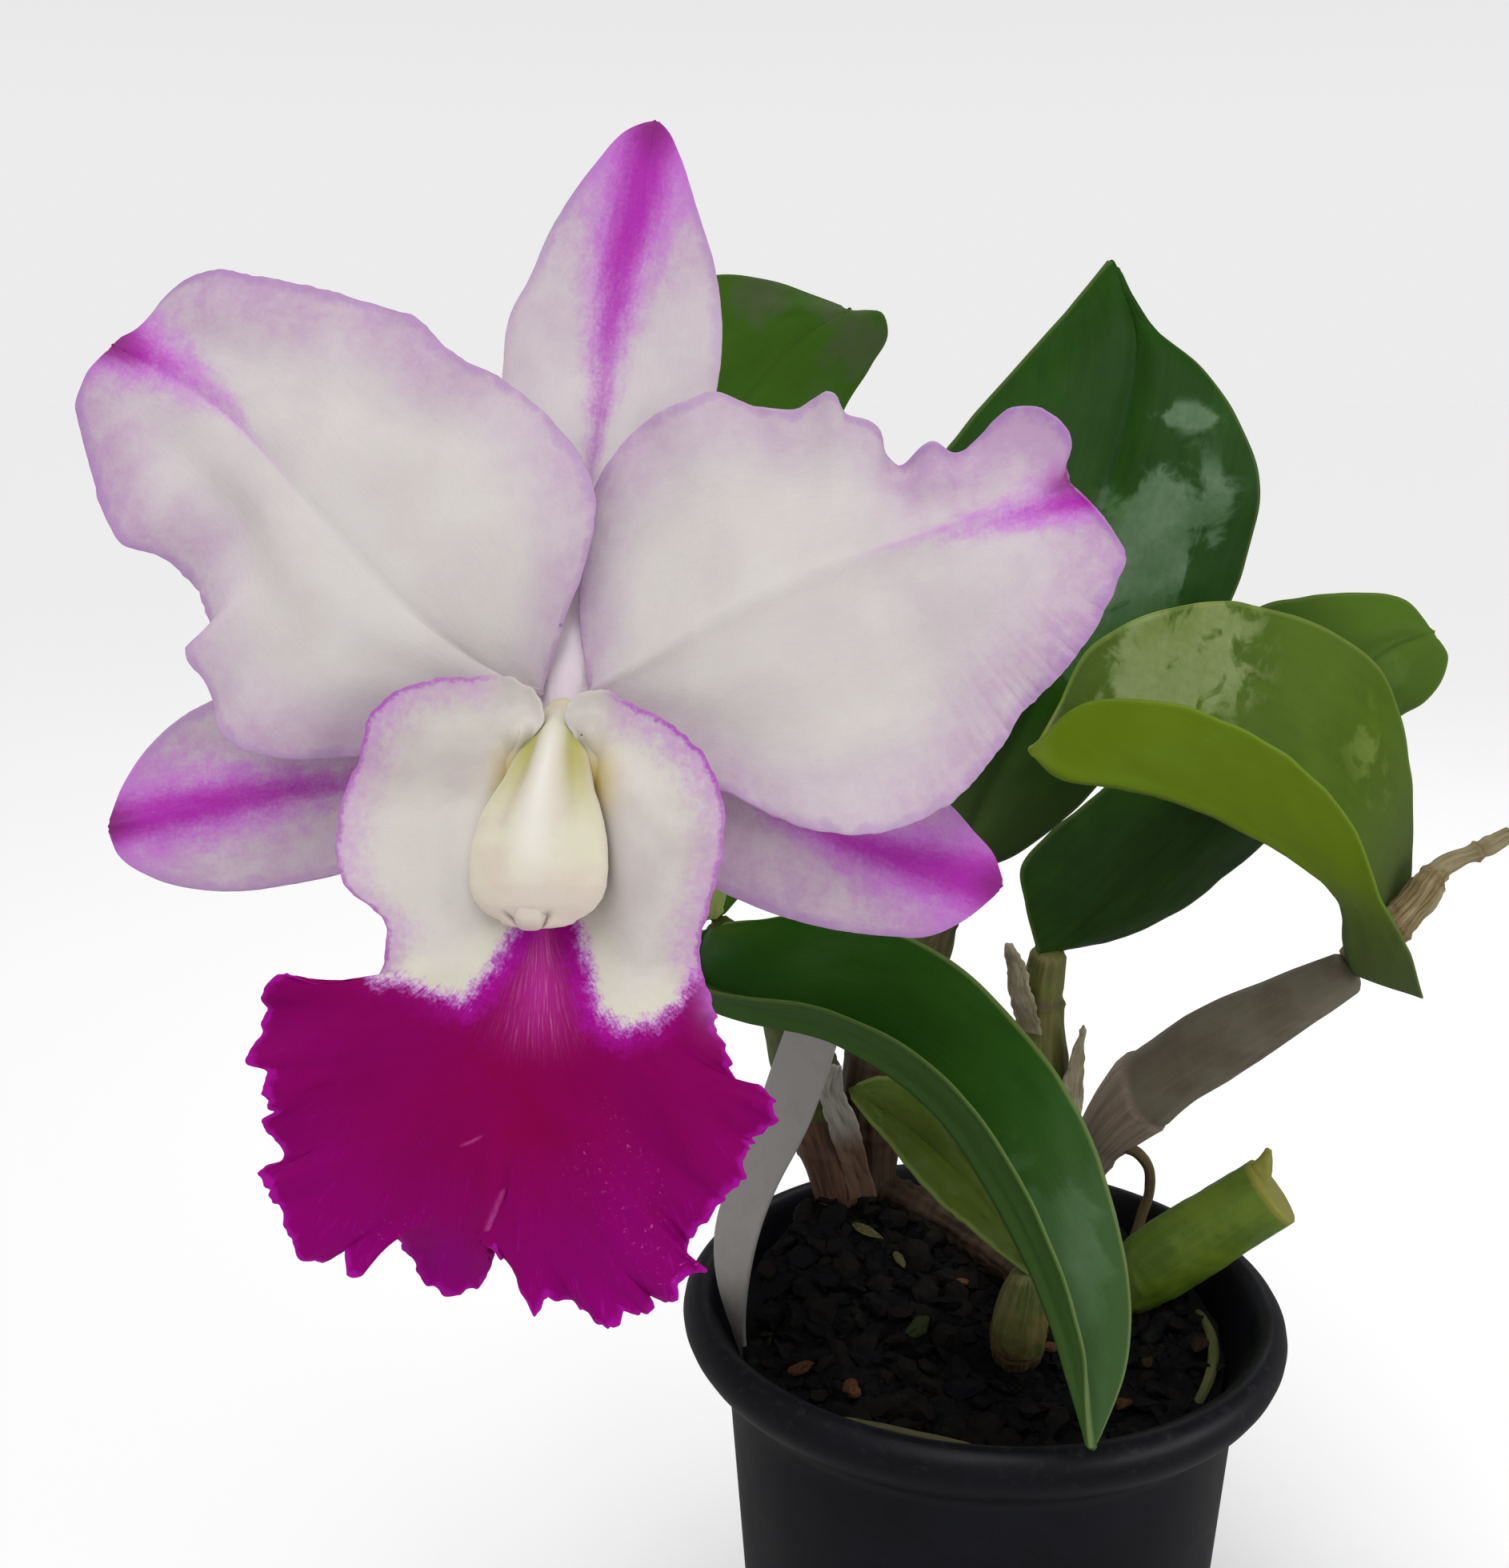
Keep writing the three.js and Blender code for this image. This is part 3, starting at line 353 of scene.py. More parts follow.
def ease(value, low, high, toLow=0.0, toHigh=1.0):
    feeds = {"Value": value, "From Min": low, "From Max": high, "To Min": toLow, "To Max": toHigh}
    return fed("ShaderNodeMapRange", {"interpolation_type": "SMOOTHSTEP"}, feeds, "Result")


# Lays a palette's colours one over another, each where its share reaches one. A colour may be a socket.
def layered(palette, first, coats):
    def read(tone):
        return tone if isSocket(tone) else paint(palette[tone])

    base = read(first)
    for share, tone in coats:
        base = fed("ShaderNodeMix", {"data_type": "RGBA"}, {0: share, 6: base, 7: read(tone)}, 2)
    return base


def vectorMaths(operation, first, second):
    return fed("ShaderNodeVectorMath", {"operation": operation}, {0: first, 1: second})


def noise(vector, scale, detail=3.0, roughness=0.5, distortion=0.0):
    feeds = {"Vector": vector, "Scale": scale, "Detail": detail, "Roughness": roughness,
             "Distortion": distortion}
    return fed("ShaderNodeTexNoise", {}, feeds, "Fac")


# Noise drawn out, by a scale for each axis.
def drawnNoise(vector, scales, detail, roughness=0.6, scale=1.0):
    return noise(vectorMaths("MULTIPLY", vector, scales), scale, detail, roughness)


def field(tree, name, output="Fac"):
    return node(tree, "ShaderNodeAttribute", {"attribute_name": name}).outputs[output]


# A shared group with one output. Each input has its first value, or None for a place.
def newGroup(name, output, rule, inputs):
    group = bpy.data.node_groups.new(name, "ShaderNodeTree")
    for label, value in inputs.items():
        kind = "NodeSocketVector" if value is None else "NodeSocketFloat"
        socket = group.interface.new_socket(label, in_out="INPUT", socket_type=kind)
        if value is not None:
            socket.default_value = value
    group.interface.new_socket(output, in_out="OUTPUT", socket_type="NodeSocketFloat")
    given = group.nodes.new("NodeGroupInput").outputs
    node(group, "NodeGroupOutput", {}, {output: rule(given)})
    return group


def useGroup(group, **feeds):
    return fed("ShaderNodeGroup", {"node_tree": group}, feeds)


# Lines that run the length of a leaf or petal, evenly spread across it and slightly wandering.
def drawVeins(given):
    drift = times(noise(given["Place"], 160.0, 1.0), given["Wander"])
    turn = times(plus(given["Across"], drift), given["Count"])
    wave = maths("COSINE", times(turn, 2 * math.pi))
    return maths("POWER", plus(times(wave, 0.5), 0.5), given["Sharpness"])


# Patches with soft edges.
def drawPatches(given):
    return ease(noise(given["Place"], given["Scale"], 4.0, 0.55, 0.3), given["Low"], given["High"])


# Skin relief: a coarse swell under a fine grain.
def drawGrain(given):
    return between(given["FineShare"], noise(given["Place"], given["Coarse"], 2.0),
                   noise(given["Place"], given["Fine"], 2.0))


# A tint along a margin, with a ragged inner edge.
def drawMargin(given):
    cloud = plus(noise(given["Place"], given["Scale"], 4.0, 0.6), -0.5)
    reach = plus(given["Distance"], times(cloud, given["Ragged"], given["Width"], 3.0))
    return ease(reach, 0.0, given["Width"], 1.0, 0.0)


# Long fibres on stems: noise drawn out along the stem.
def drawFibres(given):
    apart = given[0].id_data.nodes.new("ShaderNodeSeparateXYZ")
    apart.id_data.links.new(given["Place"], apart.inputs[0])
    amounts = (given["Fineness"], given["Fineness"], given["Length"])
    drawn = {k: times(apart.outputs[k], amounts[k]) for k in range(3)}
    return noise(fed("ShaderNodeCombineXYZ", {}, drawn), 1.0, 5.0, 0.65)


# Rare small dots, one in some of the cells of a scattered grid.
def drawSpecks(given):
    feeds = {"Vector": given["Place"], "Scale": given["Scale"]}
    cells = node(given[0].id_data, "ShaderNodeTexVoronoi", {}, feeds).outputs
    return times(maths("LESS_THAN", cells["Distance"], given["Size"]),
                 maths("LESS_THAN", cells["Color"], given["Kept"]))


veinLines = newGroup("veinLines", "Line", drawVeins, {
    "Across": 0.0, "Place": None, "Count": 12.0, "Wander": 0.3, "Sharpness": 6.0})
rareSpecks = newGroup("rareSpecks", "Mask", drawSpecks, {
    "Place": None, "Scale": 100.0, "Size": 0.02, "Kept": 0.3})
softPatches = newGroup("softPatches", "Mask", drawPatches, {
    "Place": None, "Scale": 60.0, "Low": 0.45, "High": 0.65})
skinGrain = newGroup("skinGrain", "Height", drawGrain, {
    "Place": None, "Coarse": 300.0, "Fine": 2500.0, "FineShare": 0.3})
marginTint = newGroup("marginTint", "Mask", drawMargin, {
    "Distance": 0.0, "Width": 2.0, "Ragged": 0.5, "Place": None, "Scale": 400.0})
longFibres = newGroup("longFibres", "Mask", drawFibres, {
    "Place": None, "Fineness": 9.0, "Length": 0.05})


# A new material, its tree and the place on the piece.
def newMaterial(name):
    material = bpy.data.materials.new(name)
    material.use_nodes = True
    tree = material.node_tree
    tree.nodes.clear()
    return material, tree, node(tree, "ShaderNodeTexCoord").outputs["Object"]


# Joins colour, roughness and height to a shader. depth is the relief's in mm, and glow is the weight,
# the radius of each colour and the reach in mm of the light that goes under the skin.
def finishSkin(tree, colour, roughness, height, depth, shine, glow=None, coating=None):
    feeds = {"Base Color": colour, "Roughness": roughness, "Specular IOR Level": shine, **(coating or {})}
    if glow:
        weight, radius, reach = glow
        feeds.update({"Subsurface Weight": weight, "Subsurface Radius": radius,
                      "Subsurface Scale": reach * mm})
    if height is not None:
        bump = node(tree, "ShaderNodeBump", {}, {"Height": height, "Distance": depth * mm, "Strength": 1.0})
        feeds["Normal"] = bump.outputs[0]
    shader = node(tree, "ShaderNodeBsdfPrincipled", {}, feeds)
    node(tree, "ShaderNodeOutputMaterial", {}, {"Surface": shader.outputs[0]})


print("helpers ready")


# The bloom's own frame: x to its right, y up its face, z straight out of its face.
bloom = {"centre": (-60.6, -69.0, 203.4), "tilt": 77.3}


def bloomToWorld(points):
    c = math.cos(math.radians(bloom["tilt"]))
    s = math.sin(math.radians(bloom["tilt"]))
    x, y, z = points[..., 0], points[..., 1], points[..., 2]
    return np.stack([x, y * c - z * s, y * s + z * c], axis=-1) + np.array(bloom["centre"])


# Each flare list pairs a share of the length with a value: core is the magenta along the midrib, halo the
# pink round it and line the thin vein before it, with their half widths in mm, and lean is how far the
# flare lies beside the midrib. wash is the lavender over the whole width, and rim more of it at the margin,
# partly the margin's own colour and partly painted shade that darkens it.
# A fold has its share along and across, a spread of each, a lean and a rise, and a ripple its half, its
# share and spread along, how many waves the whole length would hold, and their rise.
petals = {
    "petalLeft": {
        "node": "petal_left", "seed": 11,
        "mid": [[-2.4, 1.5, 0.6], [-8, 4, 2], [-15, 9, 3.5], [-27.5, 22, 4.6], [-37.7, 33, 3.6],
            [-51.6, 41.5, 0.8]],
        "left": [[-1.9, 2.3, 0.6], [-0.75, 5.9, 1.2], [0.8, 10.4, 2.2], [2.6, 14.5, 3], [3.8, 18.7, 3.6],
            [4.1, 24.4, 3.4], [2.4, 28.2, 2.4], [-1.2, 32.8, 1.4], [-6.8, 37.4, 2], [-11.5, 39.5, 3.4],
            [-16.3, 43.9, 2], [-20.7, 46.1, 0.8], [-24.7, 47.2, 1.2], [-34.2, 48.7, 3], [-39.7, 49.8, 1.4],
            [-42.9, 49.4, 0.2], [-45.9, 47.6, -0.4], [-48.7, 43.8, 0.2], [-51.2, 42.1, 0.8]],
        "right": [[-2.9, 0.7, 0.6], [-8, -2.6, 1.6], [-15, -5, 2.4], [-23.8, -5.8, 2.6], [-32.1, -6.1, 4],
            [-36.7, -4.7, 3.4], [-39, -1.9, 2], [-39.7, 1.9, 3.6], [-41.8, 5.6, 4.4], [-39.9, 8.1, 2],
            [-41.4, 12.4, 1], [-45.1, 16.5, 2.8], [-49.5, 18.3, 4], [-51.5, 21, 3.2], [-53.8, 26.6, 1],
            [-55.4, 31.1, 0], [-56, 35.5, 0.2], [-54.3, 38.9, 0.6], [-52, 41, 0.8]],
        "grid": [150, 84, 0.45], "bulge": 1,
        "folds": [(0.62, 0.45, 0.22, 0.2, -0.5, -1.6), (0.45, 0.22, 0.3, 0.12, 0.2, 0.5),
            (0.7, -0.45, 0.16, 0.2, 0.6, -0.8), (0.85, -0.75, 0.08, 0.3, 0, 0.8)],
        "crimp": 0.55,
        "core": [(0.74, 0), (0.84, 0.25), (0.9, 0.6), (0.95, 1), (1, 1)],
        "coreWidth": [(0.74, 1), (0.84, 1.7), (0.92, 2.5), (1, 3.2)],
        "halo": [(0.58, 0), (0.7, 0.42), (0.84, 0.8), (1, 1)],
        "haloWidth": [(0.58, 0.7), (0.72, 2.2), (0.84, 4.4), (1, 9)],
        "lean": [(0.6, 0), (0.86, -1.3), (1, -0.4)],
        "line": [(0.54, 0), (0.63, 0.45), (0.72, 1), (0.85, 0)],
        "wash": [(0, 0.02), (0.45, 0.06), (0.75, 0.25), (1, 0.6)],
        "rim": 0.74,
        "ripples": [(1, 0.62, 0.09, 60, 0.14), (-1, 0.75, 0.12, 52, 0.1)],
    },
    "petalRight": {
        "node": "petal_right", "seed": 21,
        "mid": [[3.8, 1.5, 0.6], [9.4, 4.5, 2], [18, 9.5, 3.4], [33, 16, 4.4], [46, 20.5, 3.6],
            [58.8, 25.7, 1]],
        "left": [[3.4, 2.3, 0.6], [3, 5.6, 0.4], [2.4, 9, 0], [2.3, 11.9, -0.2], [3, 17.9, 0],
            [4.5, 25.8, 0], [7.5, 29.9, 1.4], [11, 32.9, 2.2], [15, 34.6, 2.6], [18.8, 35.9, 1.6],
            [22.5, 34.4, 0.6], [27, 33.9, 1.6], [31.8, 35.2, 3.6], [33, 33, 2.8], [36, 32.1, 1],
            [37.7, 29, -0.6], [39.3, 27.6, 0], [42.8, 29.9, 3], [46, 28.8, 1], [48.5, 30.8, -0.6],
            [52.3, 33.9, 1.6], [56, 33.4, 3], [59.1, 29.9, 1.6], [58.6, 27.6, 0.6], [58.9, 26.4, 1]],
        "right": [[4.1, 0.6, 0.6], [8.4, -4, 1.6], [13, -7.6, 2.2], [19.6, -10.2, 2.8], [24.2, -12.5, 3.4],
            [29.7, -14.4, 4.2], [35.3, -14.9, 4.4], [40.8, -13.5, 3.4], [45, -11.3, 2.4], [50, -6.1, 2.2],
            [53.6, -0.6, 2.8], [58, 3.9, 3.6], [60.3, 6.8, 3.2], [64.5, 14.4, 1.2], [65.6, 17.1, 0.6],
            [63.5, 20.9, 0.6], [61.5, 23.3, 0.8], [59.4, 25.2, 1]],
        "grid": [150, 84, 0.45], "bulge": 1,
        "folds": [(0.55, 0.35, 0.3, 0.16, 0.1, -0.8), (0.75, -0.6, 0.1, 0.25, 0.4, -0.9),
            (0.4, -0.5, 0.2, 0.3, 0, 0.7)],
        "crimp": 0.6,
        "core": [(0.76, 0), (0.85, 0.3), (0.91, 0.65), (0.96, 1), (1, 1)],
        "coreWidth": [(0.76, 1), (0.85, 1.6), (0.92, 2.4), (1, 3.4)],
        "halo": [(0.56, 0), (0.72, 0.42), (0.85, 0.78), (1, 1)],
        "haloWidth": [(0.56, 0.7), (0.74, 2.2), (0.88, 4.6), (1, 9)],
        "lean": [(0.6, 0), (0.8, 1.3), (1, 4.2)],
        "line": [(0.52, 0), (0.62, 0.45), (0.74, 1), (0.87, 0)],
        "wash": [(0, 0.02), (0.5, 0.06), (0.78, 0.38), (1, 0.85)],
        "rim": 0.68,
        "ripples": [(1, 0.72, 0.14, 62, 0.5), (1, 0.5, 0.14, 48, 0.09), (-1, 0.9, 0.08, 40, 0.12)],
    },
    "dorsalSepal": {
        "node": "dorsal_sepal", "seed": 31,
        "mid": [[0.2, -1.2, -0.2], [0.5, 3, -0.3], [1.1, 8.5, -1], [1.6, 14, -3], [3.5, 30, -5],
            [6.5, 48, -5.4], [9.2, 60, -4.4], [10.8, 68.8, -3]],
        "left": [[-2.4, -1.2, -0.2], [-3, 3, -0.8], [-4, 10, -2.6], [-6.5, 22, -4.4], [-7.6, 34, -4.6],
            [-7.2, 40, -4.8], [-6.4, 46.5, -5], [-3.8, 51.5, -5.2], [-1.6, 56.5, -5], [3.7, 64, -4],
            [7.8, 68, -3.3], [10.3, 68.9, -3]],
        "right": [[2.8, -1.2, -0.2], [3.8, 3, -0.8], [6.4, 10, -2.6], [12, 22, -4.6], [17, 34, -5],
            [18.5, 43, -5.2], [18, 51, -5.4], [15.5, 59.5, -5], [13.5, 65.3, -4], [12.1, 68, -3.3],
            [11.3, 68.8, -3]],
        "grid": [130, 52, 0.45], "bulge": -0.6, "crimp": 0.12,
        "core": [(0.34, 0), (0.48, 0.32), (0.62, 0.55), (0.8, 0.95), (1, 1)],
        "coreWidth": [(0.34, 0.6), (0.5, 1.2), (0.66, 2.2), (0.84, 3.2), (1, 4.4)],
        "halo": [(0.24, 0.15), (0.45, 0.56), (0.7, 0.9), (0.88, 1), (1, 1)],
        "haloWidth": [(0.24, 0.9), (0.45, 1.8), (0.62, 3.6), (0.8, 6.4), (0.92, 10), (1, 12)],
        "lean": [(0.5, 0), (0.75, -0.9), (1, 0)],
        "line": [(0.1, 0), (0.25, 0.7), (0.5, 0.8), (0.7, 0)],
        "wash": [(0, 0.25), (0.25, 0.04), (0.5, 0.06), (0.7, 0.5), (0.85, 1), (1, 1.1)],
        "rim": 0.1, "footPaleAndLit": 1.0,
    },
    "lateralSepalLeft": {
        "node": "lateral_sepal_left", "seed": 41,
        "mid": [[-2.2, -1.7, -1], [-13, -5, -3], [-26, -9, -4.6], [-38.5, -11.2, -5], [-47, -13, -4.2],
            [-53.4, -14.2, -3]],
        "left": [[-2.6, -0.9, -1], [-10, 2, -3], [-22, 4, -4.5], [-33, 3.5, -5], [-41.3, 0.8, -5],
            [-45.1, -1.2, -4.8], [-48.9, -4.6, -4.3], [-52.2, -9.8, -3.6], [-53.5, -13.5, -3]],
        "right": [[-1.5, -2.4, -1], [-10, -9.5, -3], [-18, -16, -4.2], [-26.1, -19.6, -4.8],
            [-33.7, -21.2, -5], [-39.4, -21.9, -5], [-44.6, -21.5, -4.8], [-48.9, -20.2, -4.2],
            [-52.7, -17.4, -3.5], [-53.6, -14.9, -3]],
        "grid": [110, 52, 0.45], "bulge": -0.5, "crimp": 0.1,
        "core": [(0.15, 0), (0.4, 0.4), (0.6, 0.8), (0.8, 1), (1, 0.95)],
        "coreWidth": [(0.15, 1), (0.5, 1.8), (0.75, 2.7), (1, 3.4)],
        "halo": [(0.1, 0.3), (0.4, 0.6), (0.7, 0.9), (1, 1)],
        "haloWidth": [(0.1, 3), (0.5, 5), (0.8, 7.5), (1, 10)],
        "lean": [(0.3, 0), (0.8, -0.4), (1, 0)],
        "wash": [(0, 0.5), (0.5, 0.42), (1, 0.7)],
        "rim": 0.3,
    },
    "lateralSepalRight": {
        "node": "lateral_sepal_right", "seed": 51,
        "mid": [[2.2, -1.7, -1], [12, -6, -3], [24, -12, -4.5], [33.7, -16, -5], [43, -19, -4.2],
            [51.6, -21.3, -3]],
        "left": [[2.6, -0.9, -1], [14, -1, -3], [27, -3, -4.5], [37, -6.5, -5], [45.6, -11.7, -5],
            [48.5, -15, -4.4], [50.9, -17.9, -3.8], [51.8, -20.6, -3]],
        "right": [[1.5, -2.4, -1], [7, -12, -3], [14, -19, -4], [21.4, -23.1, -4.6], [31.9, -26.4, -5],
            [38.5, -27.2, -5], [43.3, -27.2, -4.6], [47.1, -25.5, -4], [51.4, -21.9, -3]],
        "grid": [110, 52, 0.45], "bulge": -0.5, "crimp": 0.1,
        "core": [(0.3, 0), (0.5, 0.5), (0.68, 0.9), (0.85, 1), (1, 1)],
        "coreWidth": [(0.3, 0.9), (0.6, 1.7), (0.8, 2.8), (0.92, 4), (1, 6)],
        "halo": [(0.25, 0.3), (0.5, 0.7), (0.75, 1), (1, 1)],
        "haloWidth": [(0.25, 2), (0.55, 4), (0.8, 8), (1, 12)],
        "wash": [(0, 0.62), (0.5, 0.66), (1, 0.9)],
        "rim": 0.3,
    },
}

petalSkin = {
    "foot": "eadfe6", "cream": "c6c2be", "shade": "c0bab7", "lavender": "b090b0",
    "mauve": "a276ae", "pink": "b866c2", "magenta": "a2189f", "deep": "760f66", "speck": "6e5f66",
    "roughness": 0.55, "half": 0.42, "rimHalf": 0.24,
}


def makePetalSkin():
    material, tree, place = newMaterial("petalSkin")
    sheet = field(tree, "sheet", "Vector")
    # the veins draw colour out lengthwise, so its clouds are stretched along the blade
    drawn = drawnNoise(sheet, (0.9, 0.3, 1.0), 4.0)
    fineDrawn = drawnNoise(sheet, (3.2, 0.8, 1.0), 3.0)
    mottle = noise(place, 2300.0, 2.0, 0.7)
    patches = useGroup(softPatches, Place=place, Scale=75.0, Low=0.38, High=0.7)
    small = useGroup(softPatches, Place=place, Scale=420.0, Low=0.32, High=0.72)
    veins = useGroup(veinLines, Across=field(tree, "acrossShare"), Place=place, Count=17.0, Wander=0.16,
                     Sharpness=9.0)
    specks = useGroup(rareSpecks, Place=place, Scale=130.0, Size=0.035, Kept=0.22)
    blush = field(tree, "blush")
    spread = times(blush, between(patches, 0.72, 1.1), between(small, 0.8, 1.15), between(mottle, 0.75, 1.25))
    edge = useGroup(marginTint, Distance=field(tree, "rim"), Width=1.6, Ragged=0.9, Place=place, Scale=420.0)
    halo = wavered(wavered(wavered(field(tree, "halo"), drawn, 0.5), mottle, 0.35), small, 0.16)
    core = wavered(wavered(wavered(field(tree, "core"), drawn, 0.35), fineDrawn, 0.25), mottle, 0.4)
    under = maths("SUBTRACT", 1.0, field(tree, "upperFace"))
    base = layered(petalSkin, "cream", [
        (patches, "shade"),
        # the pale foot: whiter by nature, and painted lighter where the petals and column shade the gap
        (field(tree, "footPaleAndLit"), "foot"),
        (times(spread, 0.95), "lavender"),
        (times(edge, blush, 0.7), "mauve"),
        # flare: halo, core, the deep tip and the thin vein
        (ease(halo, 0.12, 1.05), "pink"),
        (ease(core, 0.08, 1.08), "magenta"),
        (field(tree, "tipTint"), "deep"),
        (times(field(tree, "midLine"), between(fineDrawn, 0.5, 1.0), 0.6), "pink"),
        # the under face is paler and duller
        (times(under, 0.25), "shade"),
        (times(specks, 0.7), "speck"),
        (times(veins, 0.025), "mauve"),
    ])
    grain = useGroup(skinGrain, Place=place, Coarse=700.0, Fine=5200.0, FineShare=0.45)
    height = plus(grain, times(veins, -0.1), times(fineDrawn, 0.5))
    rough = between(grain, petalSkin["roughness"] - 0.08, petalSkin["roughness"] + 0.1)
    finishSkin(tree, base, rough, height, 0.055, 0.28, (0.12, (0.8, 0.55, 0.7), 0.7),
               {"Sheen Weight": 0.05, "Sheen Roughness": 0.4})
    return material


# Ridges and valleys laid on a blade, each placed by its share along and across.
def foldHeights(u, v, folds):
    height = np.zeros_like(u)
    for uAt, vAt, uSpread, vSpread, lean, rise in folds:
        height += rise * hill(u - uAt, uSpread) * hill(v - vAt - lean * (u - uAt), vSpread)
    return height


def buildPetal(name, petal, material):
    seed = petal["seed"]
    grid = layBlade(petal, *petal["grid"])
    facesBack = directions(grid["points"])[2][..., 2].mean() < 0
    u, v, a, side = sharesOf(grid)
    ends = np.sin(math.pi * u) ** 0.4
    wave = softNoise(u * 19, side, seed) * a ** 5 + 0.45 * softNoise(u * 47, side, seed + 1) * a ** 9
    wobble = 0.22 * softNoise(u * 60, side, seed + 2) + 0.12 * softNoise(u * 130, side, seed + 3)
    swell = 0.22 * softNoise(u * 5, v * 2.5, seed + 4) + 0.1 * softNoise(u * 11, v * 6 + 9, seed + 5)
    rib = -0.22 * hill(rowDistances(grid["points"])[1], 0.8) * smooth(u / 0.2) * smooth((1 - u) / 0.3)
    height = petal["crimp"] * wave * ends + foldHeights(u, v, petal.get("folds", [])) + swell * ends + rib
    for half, at, run, count, rise in petal.get("ripples", []):
        phase = 2 * math.pi * count * u + 1.6 * softNoise(u * 14, a * 3, seed + 6)
        height += rise * np.sin(phase) * hill(u - at, run) * a ** 4 * (half * v > 0)
    lift(grid, height, wobble * petal["crimp"] * a ** 8 * ends)
    grid["points"] = bloomToWorld(grid["points"])
    rim, lateral = rowDistances(grid["points"])
    aside = lateral - along(petal.get("lean", [0, 0]), u)
    fields = {
        "rim": rim,
        "acrossShare": v,
        "sheet": np.stack([lateral, u * 60, 0 * u + seed], axis=-1),
        "core": along(petal["core"], u) * hill(aside, along(petal["coreWidth"], u)),
        "halo": along(petal["halo"], u) * hill(aside, along(petal["haloWidth"], u)),
        "midLine": along(petal.get("line", [0, 0]), u) * hill(lateral, 0.28),
        "tipTint": 0.8 * smooth((u - 0.91) / 0.09) * hill(lateral, 3),
        # the rim's lavender is partly the margin's own colour and partly painted shade that darkens the
        # margin
        "blush": along(petal["wash"], u) + petal["rim"] * smooth(1 - rim / 13),
        # the foot is whiter by nature, and painted lighter still to cancel the shade in the gap between the
        # petals
        "footPaleAndLit": petal.get("footPaleAndLit", 0.0) * smooth((0.72 - u) / 0.5),
    }
    half = mix(petalSkin["half"], petalSkin["rimHalf"], a) * mix(1, 1.9, smooth(1 - u / 0.12) * (1 - a))
    settle(closeSheet(name, grid, half, fields, 2, facesBack), material, petal["node"])


petalMaterial = makePetalSkin()
for name, petal in petals.items():
    buildPetal(name, petal, petalMaterial)
print("petals and sepals ready")


